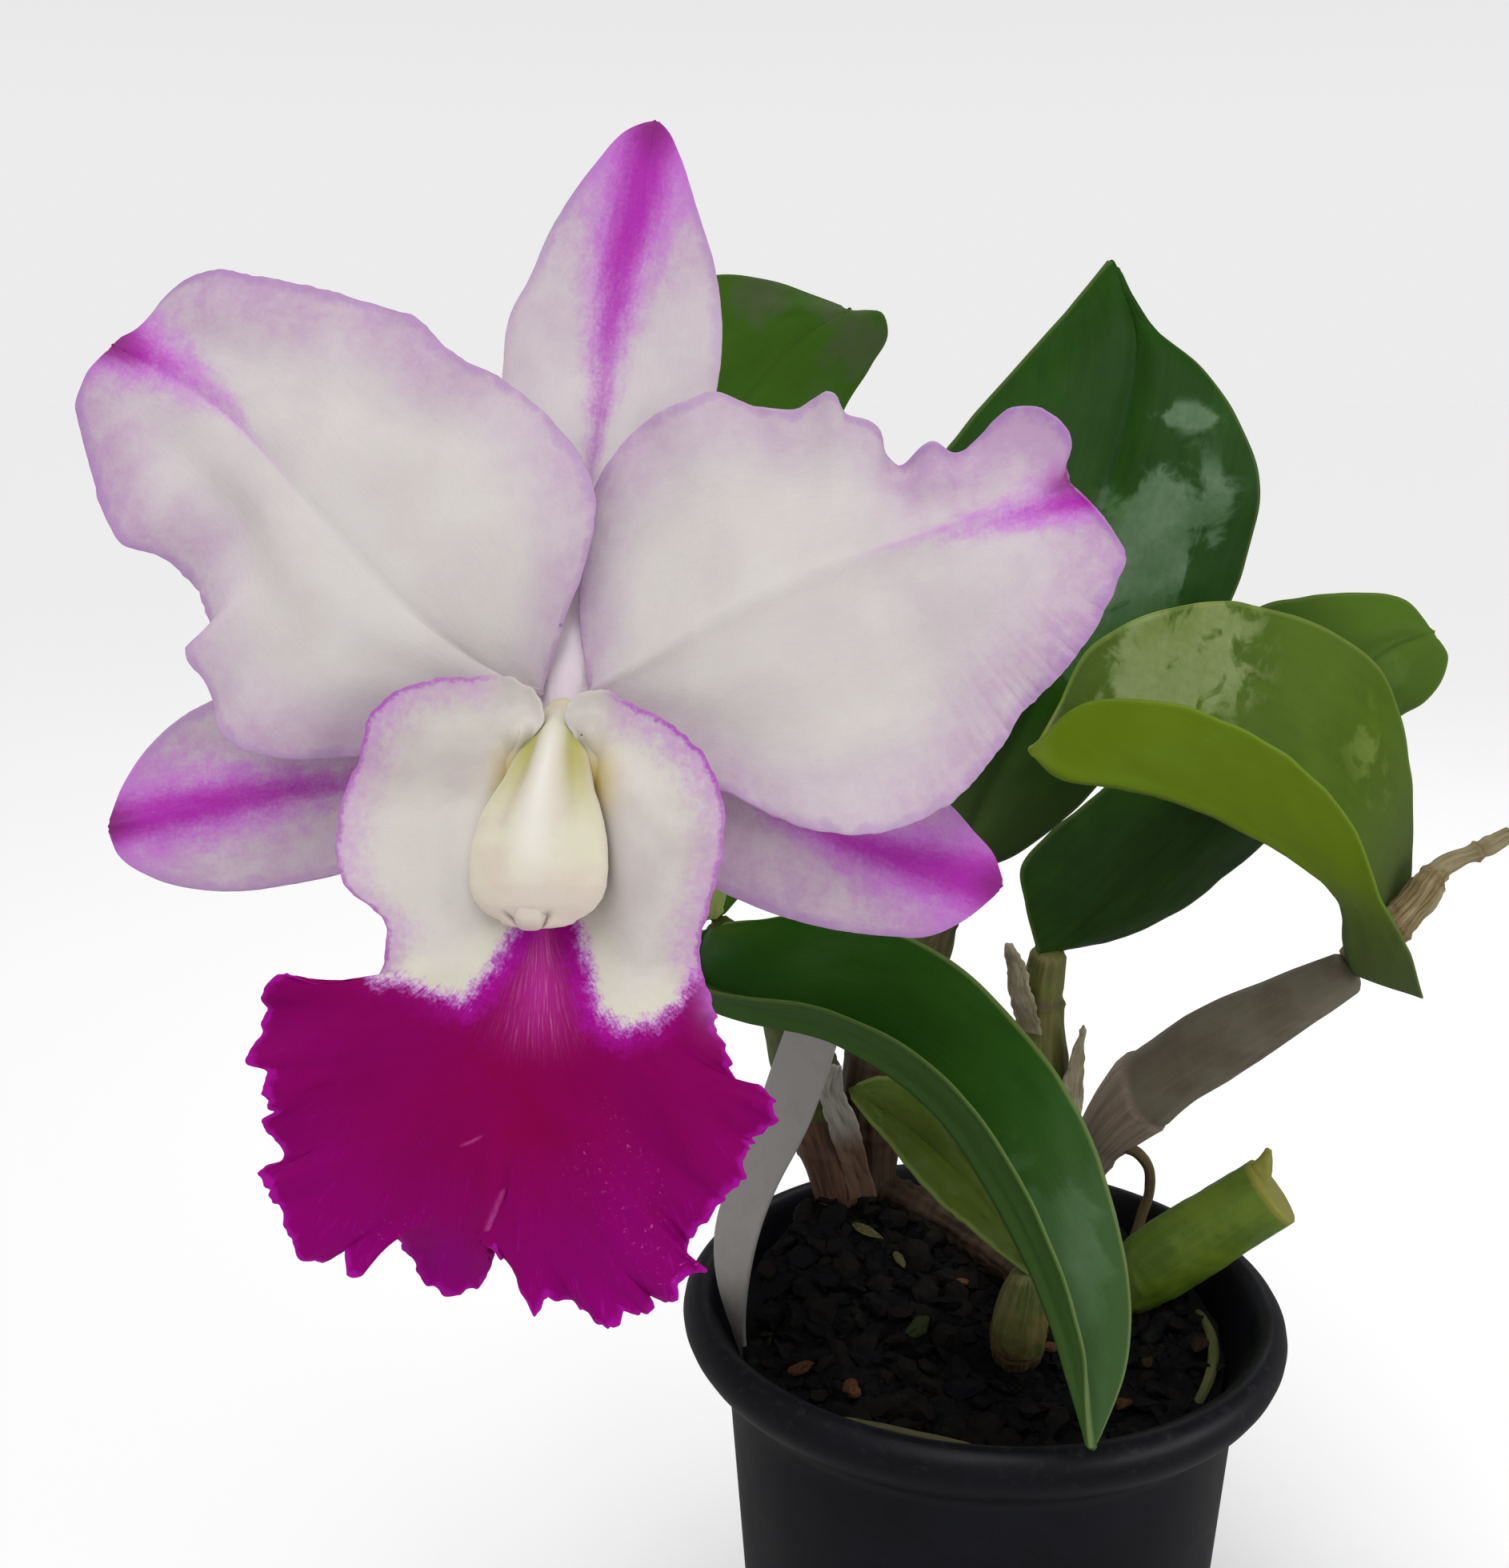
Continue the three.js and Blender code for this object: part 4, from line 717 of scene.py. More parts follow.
# The lip. Its midline runs from the claw under the column to the cleft of the middle lobe; its margins
# go round the pale side lobes and then the toothed middle lobe. edge is where the magenta starts.
lip = {
    "mid": [[0.2, -3.6, 0.8], [0, -8, 2.5], [-0.5, -14, 5], [-1, -20, 7.5], [-1.3, -25.5, 9.6],
        [-1.8, -32, 11.6], [-2.8, -42, 12.8], [-4.4, -52, 11.8], [-6.8, -59.2, 9.4]],
    "left": [[-4.4, -9.5, 9.4], [-3.7, -6.6, 9.6], [-2.7, -4.8, 9.6], [-1.6, -3.5, 9.6], [-0.8, -2.2, 9.6],
        [-1, -0.6, 9.4], [-2.3, 1.2, 9.2], [-4.4, 2.4, 9.4], [-8.7, 2.3, 10.4], [-14.7, 1.6, 11.6],
        [-19.2, -1.3, 11.4], [-20.6, -5.6, 10.4], [-22.9, -12.5, 11.4], [-22.4, -20, 12],
        [-17.8, -24.8, 11.2], [-17.9, -28, 10.8], [-19.4, -31, 11], [-24.5, -31.1, 12.5],
        [-29.5, -30.3, 13], [-31.7, -35.6, 11.1], [-31.8, -39.9, 12.4], [-30.5, -41, 13],
        [-30.9, -43.1, 14], [-29.8, -44.2, 13.3], [-31.1, -47.1, 11.8], [-29.7, -50.4, 11.2],
        [-31.5, -51.1, 11.7], [-31, -53.1, 12.9], [-29.5, -55.3, 12.6], [-27.9, -60, 10.3],
        [-26, -61.9, 9.8], [-22.9, -60, 10.6], [-22.1, -63, 11.7], [-17.4, -60.9, 8.6], [-17, -62.4, 7],
        [-13.7, -66.2, 5.4], [-10.9, -66.3, 4.8], [-9.1, -64.6, 5.2], [-7.4, -61.2, 7.4]],
    "right": [[4.9, -9.3, 9.4], [4.2, -6.6, 9.6], [3.4, -4.8, 9.6], [2.4, -3.5, 9.6], [1.7, -2.3, 9.6],
        [1.9, -0.8, 9.4], [3.2, 0.5, 9.2], [5, 1, 9.2], [8.2, -0.3, 9.8], [14.4, -3.7, 11],
        [18.4, -9.2, 10.8], [19.1, -14.5, 11.6], [17.8, -21.8, 12], [16.4, -28, 11.2], [17.4, -31.8, 11.6],
        [18.9, -37.2, 12.2], [20.9, -41.4, 12.6], [23.3, -42.7, 13.4], [24.9, -44.6, 14.3],
        [24.2, -46.6, 13.6], [21.8, -48, 12.1], [20.9, -51.7, 12.9], [18.7, -55.3, 12.9],
        [15.4, -60.1, 10.7], [17.2, -62.8, 12.3], [14.7, -63.7, 11.5], [13.9, -65.6, 10.6],
        [10.9, -66.4, 9.3], [10.9, -67.7, 9.6], [8.3, -67.5, 10.5], [6.7, -69.2, 11.4], [4.5, -68.6, 11],
        [1.6, -67.5, 9.4], [-0.7, -66.3, 10], [-1.3, -68, 10.2], [-2.8, -66.2, 9.8], [-3.7, -63.5, 9],
        [-6.3, -60.2, 9.4]],
    "grid": [500, 84, 0.35], "half": 0.5, "rimHalf": 0.2, "bulge": 0.6, "wrap": 3.0,
    # where the sheet rises to meet the column, on both its sides: x, y, spread of each, rise
    "hugs": [[5.4, -7.5, 2.6, 4.5, 1.3], [3.7, -3.6, 1.7, 2.2, 4], [8.4, -17, 3.4, 6.8, 4.2],
        [6.6, -11, 2.4, 4, 1.2]],
    "columnX": 0.4, "throat": [-1.2, -21], "rimFrom": 0.1, "corner": [18.4, -32],
    "flap": [-12.2, -63],
    # rubbed lines and painted glints: both ends and half the width; those under glintWidth are the glints,
    # painted highlights along folds
    "scuffs": [[4, -50, 14.5, -63.5, 2.4], [-5.2, -53.6, -6.8, -58.2, 0.15],
        [-9.2, -48.7, -7.2, -47.8, 0.14], [-20.3, -59.1, -13.5, -56.7, 1], [6, -44, 13, -55, 1]],
    "glintWidth": 0.3, "teeth": 0.8, "seed": 5,
    # ridges that fan out from the throat: angle from straight down, width in degrees, height, start
    "folds": [[-70, 8, -0.9, 16], [-57, 6, 0.8, 18], [-44, 6, -0.9, 20], [-31, 5, 0.9, 22],
        [-20, 5, -1.1, 24], [-8.5, 2.6, 1.3, 21], [3, 6, -0.7, 22], [13, 5, 0.7, 24], [24, 5, -0.8, 20],
        [34, 5, 0.8, 20], [46, 6, -0.7, 18], [60, 8, 0.7, 14]],
    "edge": [[-70, -28.6], [-20, -28.6], [-19.2, -30.8], [-16.2, -30.8], [-11, -32.6], [-9.2, -33],
        [-7.4, -30.8], [-5.3, -27.7], [-3.9, -25.5], [-3.2, -18], [3, -18], [3.5, -25.5], [4.4, -29.5],
        [5.7, -34.3], [7.9, -36.1], [11.9, -35.2], [14.5, -33], [15.9, -30.7], [17.5, -29], [70, -29],
        [70, -110], [-70, -110]],
}

lipSkin = {
    "ivory": "c5c0ba", "ivoryShade": "b4aba8", "butter": "c9c6ac", "throatYellow": "b8a23a",
    "crimson": "7a0040", "magenta": "780050", "violet": "82006a", "bright": "a814a0",
    "lilac": "b068bc", "tongue": "a1247e", "streak": "cf84b0", "scuffAndGlint": "c050a0",
    "shadow": "740066", "rimViolet": "9a34a4", "roughness": 0.55,
}


# Distance of each point from a closed outline, in its plane, and positive inside it.
def insideDistance(points, outline):
    corners = np.array(outline, float)
    x, y = points[..., 0], points[..., 1]
    nearest = np.full(x.shape, np.inf)
    inside = np.zeros(x.shape, bool)
    for (ax, ay), (bx, by) in zip(corners, np.roll(corners, -1, axis=0)):
        dx, dy = bx - ax, by - ay
        t = np.clip(((x - ax) * dx + (y - ay) * dy) / (dx * dx + dy * dy), 0, 1)
        nearest = np.minimum(nearest, np.hypot(x - ax - t * dx, y - ay - t * dy))
        if ay != by:
            inside ^= ((ay > y) != (by > y)) & (x < ax + dx * (y - ay) / dy)
    return np.where(inside, nearest, -nearest)


def makeLipSkin():
    material, tree, place = newMaterial("lipSkin")
    fan = field(tree, "fan", "Vector")
    rim = field(tree, "rim")
    magenta = field(tree, "magenta")
    lobeRim = field(tree, "lobeRim")
    outer = field(tree, "outer")
    # the fan runs angle by reach, so noise stretched along it draws veins
    rays = drawnNoise(fan, (26.0, 0.09, 1.0), 4.0)
    fineRays = drawnNoise(fan, (75.0, 0.22, 1.0), 3.0, 0.65)
    crumbs = drawnNoise(fan, (60.0, 1.3, 1.0), 4.0, 0.75)
    cloud = noise(place, 900.0, 4.0, 0.65)
    mottle = noise(place, 2600.0, 2.0, 0.7)
    broad = useGroup(softPatches, Place=place, Scale=55.0, Low=0.4, High=0.65)

    def margin(width, ragged, scale):
        return useGroup(marginTint, Distance=rim, Width=width, Ragged=ragged, Place=place, Scale=scale)

    # the edge of the magenta is feathered along the rays
    feather = wavered(wavered(times(plus(fineRays, -0.5), 1.8), cloud, 3.0), mottle, 2.0)
    reached = plus(magenta, feather)
    tongue = times(field(tree, "tongue"), ease(magenta, 0.8, 2.6))
    deep = layered(lipSkin, "magenta", [
        (wavered(field(tree, "heart"), rays, 0.8), "crimson"),
        (times(wavered(outer, broad, 0.35), 0.7), "violet"),
        # painted highlights on the ridges of the outer rays
        (times(ease(fineRays, 0.55, 0.8), outer, 0.45), "bright"),
        # a brighter violet band along the margin: partly its own colour and partly a painted highlight on the
        # edge
        (times(margin(1.1, 1.0, 500.0), 0.55), "bright"),
        (tongue, "tongue"),
        (times(tongue, ease(fineRays, 0.48, 0.8), 0.75), "streak"),
        (times(ease(reached, 0.8, 3.6, 1.0, 0.0), field(tree, "inward")), "bright"),
        (times(ease(crumbs, 0.6, 0.68), field(tree, "scuffed"), 0.7), "scuffAndGlint"),
        # painted glints: highlights along the folds, in the pink of the rubbed marks
        (times(field(tree, "glint"), between(mottle, 0.0, 0.8)), "scuffAndGlint"),
        (times(field(tree, "flap"), 0.6), "shadow"),
        (times(field(tree, "corner"), between(cloud, 0.3, 1.3), 0.9), "lilac"),
    ])
    # ivory side lobes, with the magenta laid over them
    base = layered(lipSkin, "ivory", [
        (broad, "ivoryShade"),
        (times(ease(magenta, -5.5, -0.5), 0.4), "butter"),
        (field(tree, "throatTint"), "throatYellow"),
        (times(maths("POWER", margin(7.0, 0.35, 1100.0), 2.0), lobeRim, 0.6), "lilac"),
        (times(margin(0.6, 0.8, 1500.0), lobeRim, 0.85), "rimViolet"),
        (ease(reached, -1.3, 0.6), "lilac"),
        (ease(reached, -0.5, 1.3), deep),
    ])
    grain = useGroup(skinGrain, Place=place, Coarse=800.0, Fine=5000.0, FineShare=0.5)
    height = plus(times(plus(times(rays, 0.5), times(fineRays, 0.7)), field(tree, "ribbed")), grain)
    rough = between(fineRays, lipSkin["roughness"] - 0.1, lipSkin["roughness"] + 0.15)
    finishSkin(tree, base, rough, height, 0.07, 0.03, (0.08, (0.9, 0.4, 0.7), 0.6))
    return material


# Lines on the lip: the narrow ones are painted glints, highlights along folds, and the broad ones are rubbed
# marks that crumble.
def scuffFields(x, y):
    scuffed, glint = 0 * x, 0 * x
    for startX, startY, endX, endY, width in lip["scuffs"]:
        length = math.hypot(endX - startX, endY - startY)
        runX, runY = (endX - startX) / length, (endY - startY) / length
        passed = (x - startX) * runX + (y - startY) * runY
        aside = (x - startX) * runY - (y - startY) * runX
        line = hill(aside, width) * smooth(passed / width + 1) * smooth((length - passed) / width + 1)
        if width < lip["glintWidth"]:
            glint = np.maximum(glint, line)
        else:
            scuffed = np.maximum(scuffed, line)
    return scuffed, glint


def buildLip():
    seed = lip["seed"]
    grid = layBlade(lip, *lip["grid"])
    u, _, a, side = sharesOf(grid, 30.0)
    points = grid["points"]
    beside = np.abs(points[..., 0] - lip["columnX"])
    for x, y, xSpread, ySpread, rise in lip["hugs"]:
        points[..., 2] += rise * hill(beside - x, xSpread) * hill(points[..., 1] - y, ySpread) * (1 - a ** 4)
    dx = points[..., 0] - lip["throat"][0]
    dy = lip["throat"][1] - points[..., 1]
    reach = np.hypot(dx, dy)
    angle = np.degrees(np.arctan2(dx, dy))
    onLobe = smooth((dy - 9) / 6)
    height = np.zeros_like(u)
    for at, width, rise, start in lip["folds"]:
        height += rise * hill(angle - at, width) * smooth((reach - start) / 12)
    height = height * onLobe * smooth((48 - reach) / 8 + 0.4)
    drift = 1.5 * softNoise(angle / 9, reach / 9, seed)
    veins = 0.05 * np.sin(angle * 1.1 + drift) * smooth((reach - 6) / 10)
    crimp = 0.55 * softNoise(u * 90, side, seed + 1) * a ** 8
    crimp = crimp + 0.8 * softNoise(u * 34, side, seed + 2) * a ** 4
    crimp = crimp * mix(0.35, 1, onLobe) * smooth(u / 0.05)
    swell = 0.45 * softNoise(points[..., 0] / 9, points[..., 1] / 9, seed + 3) * mix(0.5, 1, onLobe)
    toothed = 0.6 * softNoise(u * 120, side, seed + 4) + 0.4 * softNoise(u * 230, side, seed + 5)
    outward = lip["teeth"] * toothed * a ** 14 * mix(0.28, 1, onLobe)
    outward = outward * smooth(u / 0.05) * smooth((1 - u) / 0.02)
    keel = 0.5 * hill(rowDistances(points)[1], 0.9) * (1 - onLobe) * smooth(u / 0.1)
    lift(grid, height + veins * onLobe + crimp + swell + keel, outward)
    points = grid["points"]
    x, y = points[..., 0], points[..., 1]
    scuffed, glint = scuffFields(x, y)
    worn = mix(0.75, 1, smooth(softNoise(u * 14, side, seed + 7) + 0.6))
    fields = {
        "rim": rowDistances(points)[0],
        "fan": np.stack([np.radians(angle), reach, 0 * u], axis=-1),
        "magenta": insideDistance(points, lip["edge"]),
        "throatTint": 0.85 * hill(np.abs(x - lip["columnX"]) - 4.4, 2.3) * hill(y + 9.2, 3.8),
        "heart": hill(angle + 4, 24) * smooth((reach - 8) / 10) * smooth((46 - reach) / 20),
        "inward": hill(angle, 34) * smooth((30 - reach) / 8),
        "ribbed": mix(0.25, 1, onLobe),
        "lobeRim": 0.95 * smooth((u - lip["rimFrom"]) / 0.04) * (1 - onLobe) * worn,
        "scuffed": scuffed,
        "glint": glint,
        "corner": hill(x - lip["corner"][0], 2.0) * hill(y - lip["corner"][1], 3.4),
        "flap": hill(np.hypot(x - lip["flap"][0], y - lip["flap"][1]), 3.6),
        "outer": smooth((reach - 22) / 26),
        "tongue": hill(angle - 2, 16) * smooth((20 - reach) / 10),
    }
    grid["points"] = bloomToWorld(points)
    piece = closeSheet("lipPiece", grid, mix(lip["half"], lip["rimHalf"], smooth(a ** 2)), fields)
    settle(piece, makeLipSkin(), "lip")


buildLip()
print("lip ready")


# widths and depths are half sizes at shares of the length, and cap how far the rounded ends stand out, as a
# share of their width.
column = {
    "path": [[0.4, -0.9, 1.6], [0.45, -2.6, 5.9], [0.3, -6, 9.4], [-0.2, -11, 12], [-0.7, -16, 13.8],
        [-0.8, -20, 14.8], [-0.8, -24, 15]],
    "widths": [(0, 1.9), (0.13, 2.3), (0.2, 2.9), (0.27, 3.5), (0.33, 3.8), (0.4, 4.5), (0.47, 5.1),
        (0.53, 5.9), (0.6, 6.7), (0.67, 7.2), (0.73, 7.5), (0.8, 7.6), (0.87, 7.45), (0.92, 6.95),
        (0.96, 6.1), (0.985, 5.1), (1, 4.2)],
    "depths": [(0, 1.6), (0.15, 1.9), (0.33, 2.5), (0.53, 3), (0.75, 3.2), (0.87, 3.1), (0.94, 2.6),
        (1, 1.5)],
    "ridge": 0.75, "channel": 0.6, "notches": [76, 126], "notchDepth": 0.9, "sides": 128,
    "cap": 0.22,
}

# The cap over the pollen, set flush between the column's wings, with a short blunt beak.
antherCap = {
    "path": [[-1.6, -20.4, 15.2], [-1.5, -22.9, 15.55], [-1.5, -24.2, 15.15]],
    "widths": [1, 1.8, 2.1, 2, 1.7], "depths": [0.9, 1.5, 1.75, 1.75, 1.3], "rings": 30,
    "sides": 48, "cap": 0.5,
}

columnWax = {
    "cream": "cec9b6", "white": "d6d3ca", "green": "a19c46", "neck": "c9c39c", "blush": "c8bbb0",
    "mauve": "9a8488", "roughness": 0.42,
}


def makeColumnWax():
    material, tree, place = newMaterial("columnWax")
    cloud = useGroup(softPatches, Place=place, Scale=160.0, Low=0.4, High=0.65)
    # the whiter crest is partly its own colour and partly a painted highlight along the ridge
    tones = {"neck": "neck", "flank": "green", "crest": "white", "tip": "blush", "notch": "mauve"}
    base = layered(columnWax, "cream", [(cloud, "blush")] + [(field(tree, at), tones[at]) for at in tones])
    grain = useGroup(skinGrain, Place=place, Coarse=500.0, Fine=4200.0, FineShare=0.4)
    rough = between(grain, columnWax["roughness"] - 0.06, columnWax["roughness"] + 0.1)
    finishSkin(tree, base, rough, grain, 0.03, 0.36, (0.25, (1.0, 0.8, 0.5), 1.2))
    return material


def buildColumn(material):
    def pair(turn, aside, width):
        return hill(turn - 90 - aside, width) + hill(turn - 90 + aside, width)

    def notching(u, turn):
        return sum(hill(turn - at, 4.5) for at in column["notches"]) * smooth((u - 0.95) / 0.04)

    def relief(u, angle):
        turn = np.degrees(angle)
        middle = smooth((u - 0.12) / 0.34) * smooth((0.9 - u) / 0.35)
        rise = (column["ridge"] * hill(turn - 92, 20) - column["channel"] * pair(turn, 38, 15)) * middle
        return rise - column["notchDepth"] * notching(u, turn) + 0.05 * softNoise(turn / 20, u * 12, 31)

    piece, u, angle = buildStem("columnPiece", column, relief, column["cap"], bloomToWorld)
    turn = np.degrees(angle)
    fade = smooth((u - 0.14) / 0.16) * mix(0.1, 1, smooth((0.7 - u) / 0.36)) * smooth((1 - u) / 0.2)
    addFields(piece.data, {
        "neck": 0.9 * smooth((0.2 - u) / 0.12),
        # the flank also takes a thin green line at the top end, partly its own colour and partly painted
        # shade where the column meets the dorsal sepal
        "flank": np.clip(0.9 * pair(turn, 44, 27) * fade + 0.5 * hill(u, 0.02), 0, 1),
        "crest": 0.85 * hill(turn - 92, 17) * smooth((u - 0.1) / 0.3) * smooth((1 - u) / 0.3),
        "tip": 0.75 * smooth((u - 0.72) / 0.28),
        "notch": 0.85 * np.clip(notching(u, turn), 0, 1),
    })
    settle(piece, material, "column")


def buildAntherCap(material):
    def relief(u, angle):
        turn = np.degrees(angle)
        return 0.12 * (hill(turn - 60, 20) + hill(turn - 120, 20)) + 0.04 * softNoise(turn / 15, u * 8, 32)

    piece, u, _ = buildStem("antherCapPiece", antherCap, relief, antherCap["cap"], bloomToWorld)
    addFields(piece.data, {
        "crest": 0.2 + 0 * u,
        "tip": 0.5 + 0.4 * smooth((u - 0.3) / 0.5),
        "notch": 0.25 * smooth((u - 0.85) / 0.15),
    })
    settle(piece, material, "anther_cap")


wax = makeColumnWax()
buildColumn(wax)
buildAntherCap(wax)
print("column ready")


# Stems share one shader and one way of making. In a look, main and second break in patches, fibre runs
# along the stem, sheath and sheathDark cover what a papery sheath covers, and cut is the colour of a cut
# end. sheathEdges has where each sheath ends, how slanted and which way; nodesAt has the node rings.
stemLook = {
    "fineness": 7.0, "drawn": 0.07, "patch": 130.0, "fibreShare": 0.5, "specks": 0.4,
    "fibreHeight": 1.0, "relief": 0.1, "glow": 0.08, "shine": 0.3, "wrinkle": 0.1, "ribs": 9,
    "ribDepth": 0, "nodesAt": [], "nodeRise": 0.35, "nodeSink": 0.2, "ringWide": 0.012,
    "waver": 0.012, "sheathEdges": [], "sheathRise": 0.3, "sheathShare": 1.0, "cap": 0.45,
    "cutEnd": 0.0,
}


def makeStemSkin(name, given):
    material, tree, place = newMaterial(name)
    look = {"cut": given["main"], "sheath": given["fibre"], **stemLook, **given}
    turned = field(tree, "place", "Vector")
    fibres = useGroup(longFibres, Place=turned, Fineness=look["fineness"], Length=look["drawn"])
    patches = useGroup(softPatches, Place=place, Scale=look["patch"], Low=0.38, High=0.66)
    specks = ease(noise(place, 1500.0, 3.0, 0.6), 0.64, 0.72)
    base = layered(look, "main", [
        (patches, "second"),
        (times(ease(fibres, 0.42, 0.68), look["fibreShare"]), "fibre"),
        (field(tree, "sheathed"), layered(look, "sheath", [(ease(fibres, 0.35, 0.65), "sheathDark")])),
        (times(field(tree, "seam"), 0.7), "sheathDark"),
        (times(specks, look["specks"]), "sheathDark"),
        (field(tree, "cutEnd"), "cut"),
    ])
    grain = useGroup(skinGrain, Place=place, Coarse=450.0, Fine=3000.0, FineShare=0.4)
    height = plus(grain, times(fibres, look["fibreHeight"]))
    rough = between(fibres, look["roughness"] - 0.1, look["roughness"] + 0.12)
    finishSkin(tree, base, rough, height, look["relief"], look["shine"], (look["glow"], (0.6, 0.8, 0.2), 1.0))
    return material


# A stem with node rings, ribs, wrinkles and the step where a papery sheath ends.
def buildShoot(name, stem, material=None):
    look = {**stemLook, **stem["look"]}
    seed = stem["seed"]

    def ringAt(at, turn):
        return at + look["waver"] * np.sin(turn + at * 20)

    def sheathStep(u, turn):
        cover = 0 * u + 0 * turn
        for edge, slant, phase in look["sheathEdges"]:
            line = edge + slant * np.sin(turn - phase)
            line = line + 0.008 * softNoise(turn * 3, u * 0 + edge * 9, seed + 3)
            cover = np.maximum(cover, smooth((line - u) / 0.012 + 0.5))
        return cover

    def relief(u, turn):
        height = look["wrinkle"] * softNoise(turn * look["ribs"] / 2, u * 5, seed)
        height = height + 0.5 * look["wrinkle"] * softNoise(turn * 7, u * 16, seed + 1)
        height = height + look["ribDepth"] * np.cos(turn * look["ribs"] + 1.5 * u)
        for at in look["nodesAt"]:
            ring = ringAt(at, turn)
            height = height + look["nodeRise"] * hill(u - ring, look["ringWide"])
            height = height - look["nodeSink"] * hill(u - ring - 0.03, 0.018)
        return height + look["sheathRise"] * sheathStep(u, turn)

    piece, u, turn = buildStem(name, stem, relief, look["cap"])
    seam = 0 * u
    for at in look["nodesAt"]:
        seam = np.maximum(seam, hill(u - ringAt(at, turn) - 0.012, 0.014))
    for edge, slant, phase in look["sheathEdges"]:
        seam = np.maximum(seam, 0.8 * hill(u - edge - slant * np.sin(turn - phase), 0.012))
    addFields(piece.data, {
        "sheathed": sheathStep(u, turn) * look["sheathShare"],
        "seam": seam,
        "cutEnd": look["cutEnd"] * smooth((u - 0.965) / 0.02),
    })
    settle(piece, material or makeStemSkin(name + "Skin", stem["look"]), stem["node"])


stalk = {
    # the end of the stalk's path, in the bloom's own frame
    "ovary": [[-0.2, 0.2, -32], [0, 0, -16], [0.1, -0.2, -2.2]],
    "look": {"main": "7d9440", "second": "8f9c52", "fibre": "a8b070", "sheathDark": "6a5a48",
        "roughness": 0.42, "wrinkle": 0.05, "ribs": 6, "ribDepth": 0.13, "glow": 0.2, "specks": 0.25,
        "relief": 0.04},
    "stems": {
        "flowerStalk": {
            "node": "flower_stalk", "slot": "stalk_green", "sides": 36, "seed": 51,
            "path": [[-45, 0.4, 157.2], [-46.5, -4, 170], [-52, -20, 186]],
            "widths": [1.9, 1.6, 1.5, 1.5, 1.6, 2, 2.4, 2.5, 2.3, 1.9],
        },
        "flowerSheath": {
            "node": "flower_sheath", "slot": "stalk_green", "rings": 60, "sides": 44, "seed": 52,
            "path": [[-46, -1.4, 158.4], [-46.6, -4, 168], [-49, -10, 178]],
            "widths": [3, 4.4, 5, 4.2, 1.2], "depths": [2.4, 3, 2.8, 1.8, 0.8],
            "look": {"wrinkle": 0.12, "ribs": 14, "ribDepth": 0.06, "cap": 0.6},
        },
    },
}


def buildStalk():
    material = makeStemSkin("stalkSkin", stalk["look"])
    ovary = bloomToWorld(np.array(stalk["ovary"], float)).tolist()
    for name, stem in stalk["stems"].items():
        path = stem["path"] + (ovary if name == "flowerStalk" else [])
        look = {**stalk["look"], **stem.get("look", {})}
        buildShoot(name, {**stem, "path": path, "look": look}, material)


buildStalk()
print("stalk ready")


